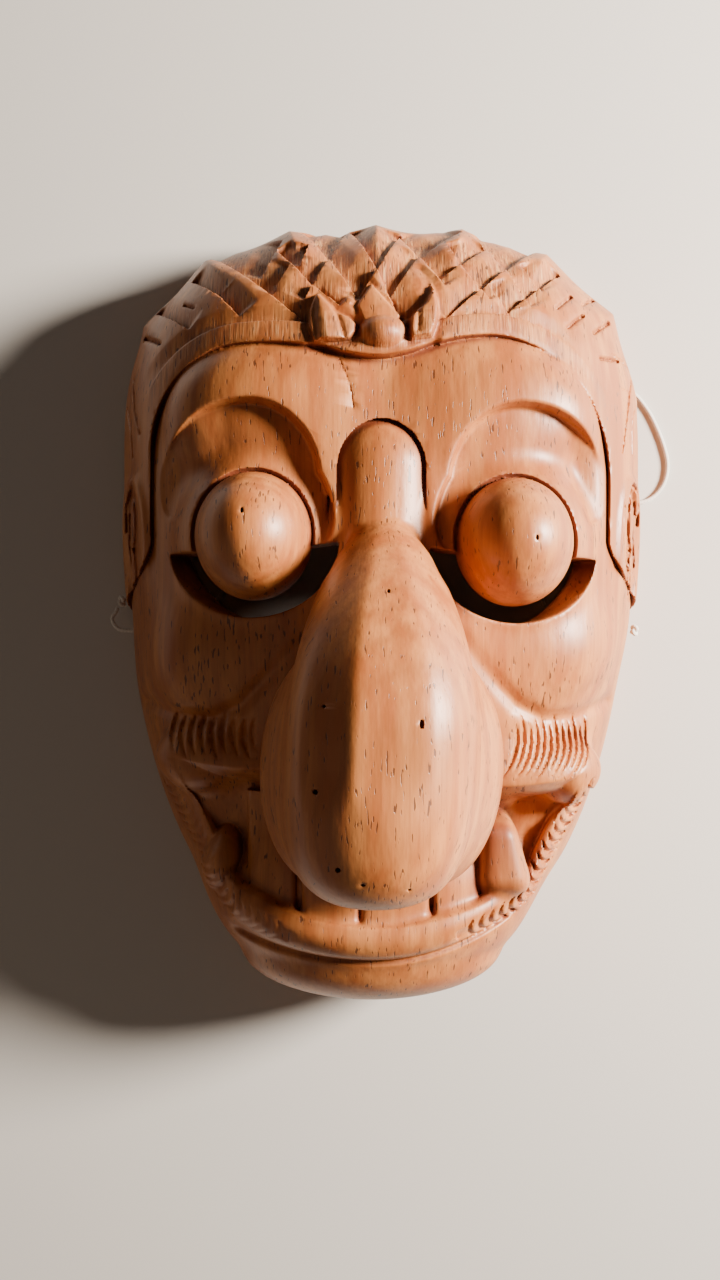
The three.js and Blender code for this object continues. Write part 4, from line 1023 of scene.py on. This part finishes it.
def wood_material():
    material, nodes, place = new_material("carved_wood")
    millimetres = nodes.add("ShaderNodeVectorMath", {0: place, "Scale": 1 / MM}, operation="SCALE").outputs[0]
    grain = nodes.add("ShaderNodeGroup", {"Millimetres": millimetres}, node_tree=grain_group())
    figure, tone = grain.outputs["Figure"], grain.outputs["Tone"]
    pores, fibres = grain.outputs["Pores"], grain.outputs["Fibres"]
    torn = nodes.add("ShaderNodeAttribute", attribute_name="torn").outputs["Fac"]
    shut = nodes.add("ShaderNodeAttribute", attribute_name="shut").outputs["Fac"]

    colour = nodes.mix(nodes.band(tone, 0.32, 0.7), WOOD_TONES.darker, WOOD_TONES.lighter)
    colour = nodes.mix(nodes.math("MULTIPLY", figure, 0.3), colour, WOOD_TONES.figure)
    torn_light = nodes.math("MULTIPLY", torn, nodes.band(fibres, 0.54, 0.66))
    colour = nodes.mix(nodes.math("MULTIPLY", torn_light, 0.6), colour, WOOD_TONES.torn_light)
    torn_dark = nodes.math("MULTIPLY", torn, nodes.band(fibres, 0.49, 0.38))
    colour = nodes.mix(nodes.math("MULTIPLY", torn_dark, 0.85), colour, WOOD_TONES.torn_dark)
    # Painted shade: darker and redder where a place is more shut in.
    colour = nodes.mix(nodes.band(shut, 0.25, 0.75, 0.0, 0.85), colour, WOOD_TONES.shade)
    colour = nodes.mix(nodes.math("MULTIPLY", pores, 0.85), colour, WOOD_TONES.pore)

    roughness = nodes.math("MULTIPLY_ADD", tone, 0.16, 0.34)
    roughness = nodes.math("MULTIPLY_ADD", torn, 0.2, roughness)
    roughness = nodes.math("MULTIPLY_ADD", shut, 0.2, roughness)
    relief = nodes.math("MULTIPLY_ADD", pores, -0.22, nodes.math("MULTIPLY", fibres, 0.08))
    relief = nodes.math("ADD", relief, nodes.math("MULTIPLY", torn, fibres))
    strokes = nodes.noise(nodes.stretch(millimetres, GRAIN["strokes"], (7, 7, 7)), detail=2)
    relief = nodes.math("ADD", relief, nodes.math("MULTIPLY", strokes, 0.5))
    nodes.surface(relief, 0.6, 0.0004, {
        "Base Color": colour,
        "Roughness": roughness,
        "Specular IOR Level": 0.5,
        "Coat Weight": 0.12,
        "Coat Roughness": 0.32,
    })
    return material


def elastic_material():
    material, nodes, place = new_material("white_elastic")
    braid = nodes.add("ShaderNodeAttribute", attribute_name="braid").outputs["Fac"]
    soil = nodes.noise(nodes.stretch(place, (90, 90, 90)), detail=3)
    fuzz = nodes.noise(nodes.stretch(place, (4000, 4000, 4000)), detail=2)
    colour = nodes.mix(nodes.band(soil, 0.35, 0.7), ELASTIC_TONES.clean, ELASTIC_TONES.soiled)
    # Painted shade between the braid's strands, where its surface is lowest.
    colour = nodes.mix(nodes.band(braid, 0.5, 0.0, 0.0, 0.55), colour, ELASTIC_TONES.between)
    nodes.surface(fuzz, 0.4, 0.0001, {
        "Base Color": colour,
        "Roughness": 0.8,
        "Sheen Weight": 0.25,
        "Sheen Roughness": 0.5,
    })
    return material


def smooth_route(points, count):
    """Even steps along a smooth curve through the points (centripetal Catmull-Rom)."""
    p = np.array(points, float)
    ends = np.vstack([2 * p[0] - p[1], p, 2 * p[-1] - p[-2]])
    out = []
    for a, b, c, d in zip(ends, ends[1:], ends[2:], ends[3:]):
        knots = [0.0]
        for u, v in ((a, b), (b, c), (c, d)):
            knots.append(knots[-1] + max(np.linalg.norm(v - u), 1e-9) ** 0.5)
        t = np.linspace(knots[1], knots[2], 24, endpoint=False)[:, None]
        level = [a, b, c, d]
        for spans in (((0, 1), (1, 2), (2, 3)), ((0, 2), (1, 3)), ((1, 2),)):
            mixed = zip(spans, level, level[1:])
            spans = [(knots[i], knots[j], before, after) for (i, j), before, after in mixed]
            level = [(v - t) / (v - u) * before + (t - u) / (v - u) * after for u, v, before, after in spans]
        out.append(level[0])
    line = np.vstack(out + [p[-1:]])
    far = np.concatenate([[0], np.cumsum(np.linalg.norm(np.diff(line, axis=0), axis=1))])
    even = np.linspace(0, far[-1], count)
    return np.column_stack([np.interp(even, far, line[:, i]) for i in range(3)]), far[-1]


def braided_tube(name, line, length, closed=False):
    """A tube of braided thread along a line: crossing helical strands raise its surface, and their heights
    are kept for the shade painted between them.
    """
    sides = BRAID.sides
    ahead = np.roll(line, -1, 0) - np.roll(line, 1, 0)
    if not closed:
        ahead[0] = line[1] - line[0]
        ahead[-1] = line[-1] - line[-2]
    ahead /= np.linalg.norm(ahead, axis=1, keepdims=True)
    side = np.cross(ahead[0], (0, 0, 1.0))
    side = side if np.linalg.norm(side) > 0.1 else np.cross(ahead[0], (0, 1.0, 0))
    frames = []
    for tangent in ahead:
        side = side - tangent * (side @ tangent)
        side = side / np.linalg.norm(side)
        frames.append((side, np.cross(tangent, side)))
    step = length / (len(line) - (0 if closed else 1))
    turns = np.arange(sides) / sides * 2 * math.pi
    places = []
    braid = []
    for i, (centre, (u, v)) in enumerate(zip(line, frames)):
        run = i * step / BRAID.strand * 2 * math.pi
        over = np.cos(turns * 2 + run) * np.cos(turns * 2 - run)
        radius = CORD_RADIUS * (1 - BRAID.height + BRAID.height * over)
        if not closed and i in (0, len(line) - 1):
            radius = radius * BRAID.cut_end
        ring = centre + radius[:, None] * (np.cos(turns)[:, None] * u + np.sin(turns)[:, None] * v)
        places.append(ring)
        braid.append(0.5 + 0.5 * over)
    places = np.vstack(places)
    braid = np.concatenate(braid)
    faces = []
    rings = len(line)
    for i in range(rings if closed else rings - 1):
        for j in range(sides):
            k = (j + 1) % sides
            after = (i + 1) % rings
            faces.append((i * sides + j, i * sides + k, after * sides + k, after * sides + j))
    if not closed:
        faces.append(tuple(range(sides - 1, -1, -1)))
        faces.append(tuple((rings - 1) * sides + j for j in range(sides)))
    mesh = bpy.data.meshes.new(name)
    mesh.from_pydata(places.tolist(), [], faces)
    obj = bpy.data.objects.new(name, mesh)
    bpy.context.scene.collection.objects.link(obj)
    # The strands' heights, for the shade painted between them.
    paint(obj, "braid", braid)
    choose(obj)
    bpy.ops.object.shade_smooth()
    return obj


def overhand_knot(name, node):
    """A tight overhand knot of the same elastic, in the place of the plain solid."""
    low, high = (np.array(corner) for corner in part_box(node))
    centre = (low + high) / 2
    reach = (high - low).min() / 2 - CORD_RADIUS
    t = np.linspace(0, 2 * math.pi, KNOT_BENDS, endpoint=False)
    crossing = -np.sin(3 * t) * KNOT_DEPTH
    shape = np.column_stack([crossing, np.sin(t) + 2 * np.sin(2 * t), np.cos(t) - 2 * np.cos(2 * t)])
    line = centre + shape * reach / 3
    length = np.linalg.norm(np.diff(np.vstack([line, line[:1]]), axis=0), axis=1).sum()
    return braided_tube(name, line, length, closed=True)


# The camera first: the photo looks straight down on the mask.
eye = bpy.data.cameras.new("camera")
eye.sensor_fit = "VERTICAL"
eye.sensor_height = 36
eye.lens = 36 * CAMERA.focal_pixels / CAMERA.photo_height
eye.clip_start = 0.01
camera = bpy.data.objects.new("camera", eye)
camera.location = CAMERA.at
bpy.context.scene.collection.objects.link(camera)
bpy.context.scene.camera = camera

# The cord, along the CAD's route.
HOLE_Y = CORD_HOLE.y
HOLE_Z = CORD_HOLE.z
RIGHT_WALL = wall_x(1, HOLE_Y, HOLE_Z)
LEFT_WALL = wall_x(-1, HOLE_Y, HOLE_Z)
END_Y = HOLE_Y + 9.2
END_Z = HOLE_Z - 2.2
END_X = wall_x(-1, END_Y, END_Z) - 2.6
CORD_FLOOR = 0.8
CORD_ON_FLOOR = [
    (51, 9.5), (52.5, 18), (58, 26), (66, 31.5), (75, 34.8), (82.3, 35.2), (86.2, 36.5), (89.4, 39.4),
    (91.3, 43.2), (91.8, 48), (90.6, 53.5), (88.3, 59.5), (85.4, 65), (81.3, 70), (76, 73.5), (67, 75),
    (55, 72.5), (40, 64), (22, 53.5), (4, 44), (-14, 35), (-32, 24.5), (-46, 12.5),
]
CORD_ROUTE = [
    (RIGHT_WALL, HOLE_Y, HOLE_Z),
    (RIGHT_WALL - 5, HOLE_Y, HOLE_Z),
    (64.5, -5.2, 7.2),
    (59.5, -3.9, 4.6),
    (55.2, -1, 2.1),
    (52.3, 3, 1),
    *((x, y, CORD_FLOOR) for x, y in CORD_ON_FLOOR),
    (-51.5, 5, 0.9),
    (-56, -0.2, 1.8),
    (-60.5, -3.6, 4.4),
    (-65.5, -5.1, 7.1),
    (-70.5, HOLE_Y, HOLE_Z),
    (LEFT_WALL, HOLE_Y, HOLE_Z),
    (LEFT_WALL - 3.1, HOLE_Y, HOLE_Z),
    (LEFT_WALL - 5.1, HOLE_Y + 0.5, HOLE_Z - 0.2),
    (LEFT_WALL - 6.6, HOLE_Y + 2, HOLE_Z - 0.6),
    (LEFT_WALL - 7.2, HOLE_Y + 4, HOLE_Z - 1),
    (END_X - 1.8, END_Y - 3.5, END_Z + 0.7),
    (END_X - 1.3, END_Y - 2.1, END_Z + 0.4),
]
elastic = elastic_material()
ROUTE = [(x * MM, (y - MIDDLE_Y) * MM, z * MM) for x, y, z in CORD_ROUTE]
cord_line, cord_length = smooth_route(ROUTE, CORD_BENDS)
cord = braided_tube("braided_cord", cord_line, cord_length)
knots = [overhand_knot(f"tied_{node}", node) for node in ("knot_right", "knot_left")]
for piece, node in ((cord, "elastic_cord"), (knots[0], "knot_right"), (knots[1], "knot_left")):
    piece.data.materials.append(elastic)
    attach(piece, "root")
    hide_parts(node)

# The mask.
VOXEL = 0.5
mask = carve(wood, *MASK_BOX, VOXEL, MASK_REACH, MASK_TRIANGLES, "mask_carving")
spots = per_vertex(mask.data.vertices, "co") / MM + (0, MIDDLE_Y, 0)
# How shut in each place is, for the shade painted into hollows.
paint(mask, "shut", sheltered(wood, spots, per_vertex(mask.data.vertex_normals, "vector")))
past = past_hairline(spots[:, 0], spots[:, 1])
pared = hair_height(*spots.T, past)[1]
band = smoothstep(past, *TORN.foot) * (1 - smoothstep(past, *TORN.top))
band = band * smoothstep(spots[:, 1], *TORN.y)
paint(mask, "torn", np.clip(pared * TORN.cuts_gain, 0, 1) * TORN.cuts + band * TORN.band)
choose(mask)
bpy.ops.object.shade_smooth_by_angle(angle=math.radians(SHARP_ANGLE))
mask.data.materials.append(wood_material())
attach(mask, "root")
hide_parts("carved_mask")

# The plain pale floor and the soft light.
bpy.ops.mesh.primitive_plane_add(size=FLOOR.size, location=(0, 0, 0))
floor = bpy.context.object
floor.name = "floor"
paper = bpy.data.materials.new("floor_paper")
paper.use_nodes = True
paper_shader = paper.node_tree.nodes["Principled BSDF"]
paper_shader.inputs["Base Color"].default_value = FLOOR.colour
paper_shader.inputs["Roughness"].default_value = FLOOR.roughness
floor.data.materials.append(paper)


def area_light(name, at, size, power, colour):
    light = bpy.data.lights.new(name, "AREA")
    light.shape = "DISK"
    light.size = size
    light.energy = power
    light.color = colour
    obj = bpy.data.objects.new(name, light)
    away = np.array(LIT_POINT) - np.array(at)
    away = away / np.linalg.norm(away)
    obj.location = at
    obj.rotation_euler = (math.acos(-away[2]), 0, math.atan2(away[1], away[0]) - math.pi / 2)
    bpy.context.scene.collection.objects.link(obj)


for name, settings in LIGHTS.items():
    area_light(name, **settings)
world = bpy.context.scene.world or bpy.data.worlds.new("world")
bpy.context.scene.world = world
world.use_nodes = True
world.node_tree.nodes["Background"].inputs["Color"].default_value = SKY.colour
world.node_tree.nodes["Background"].inputs["Strength"].default_value = SKY.strength
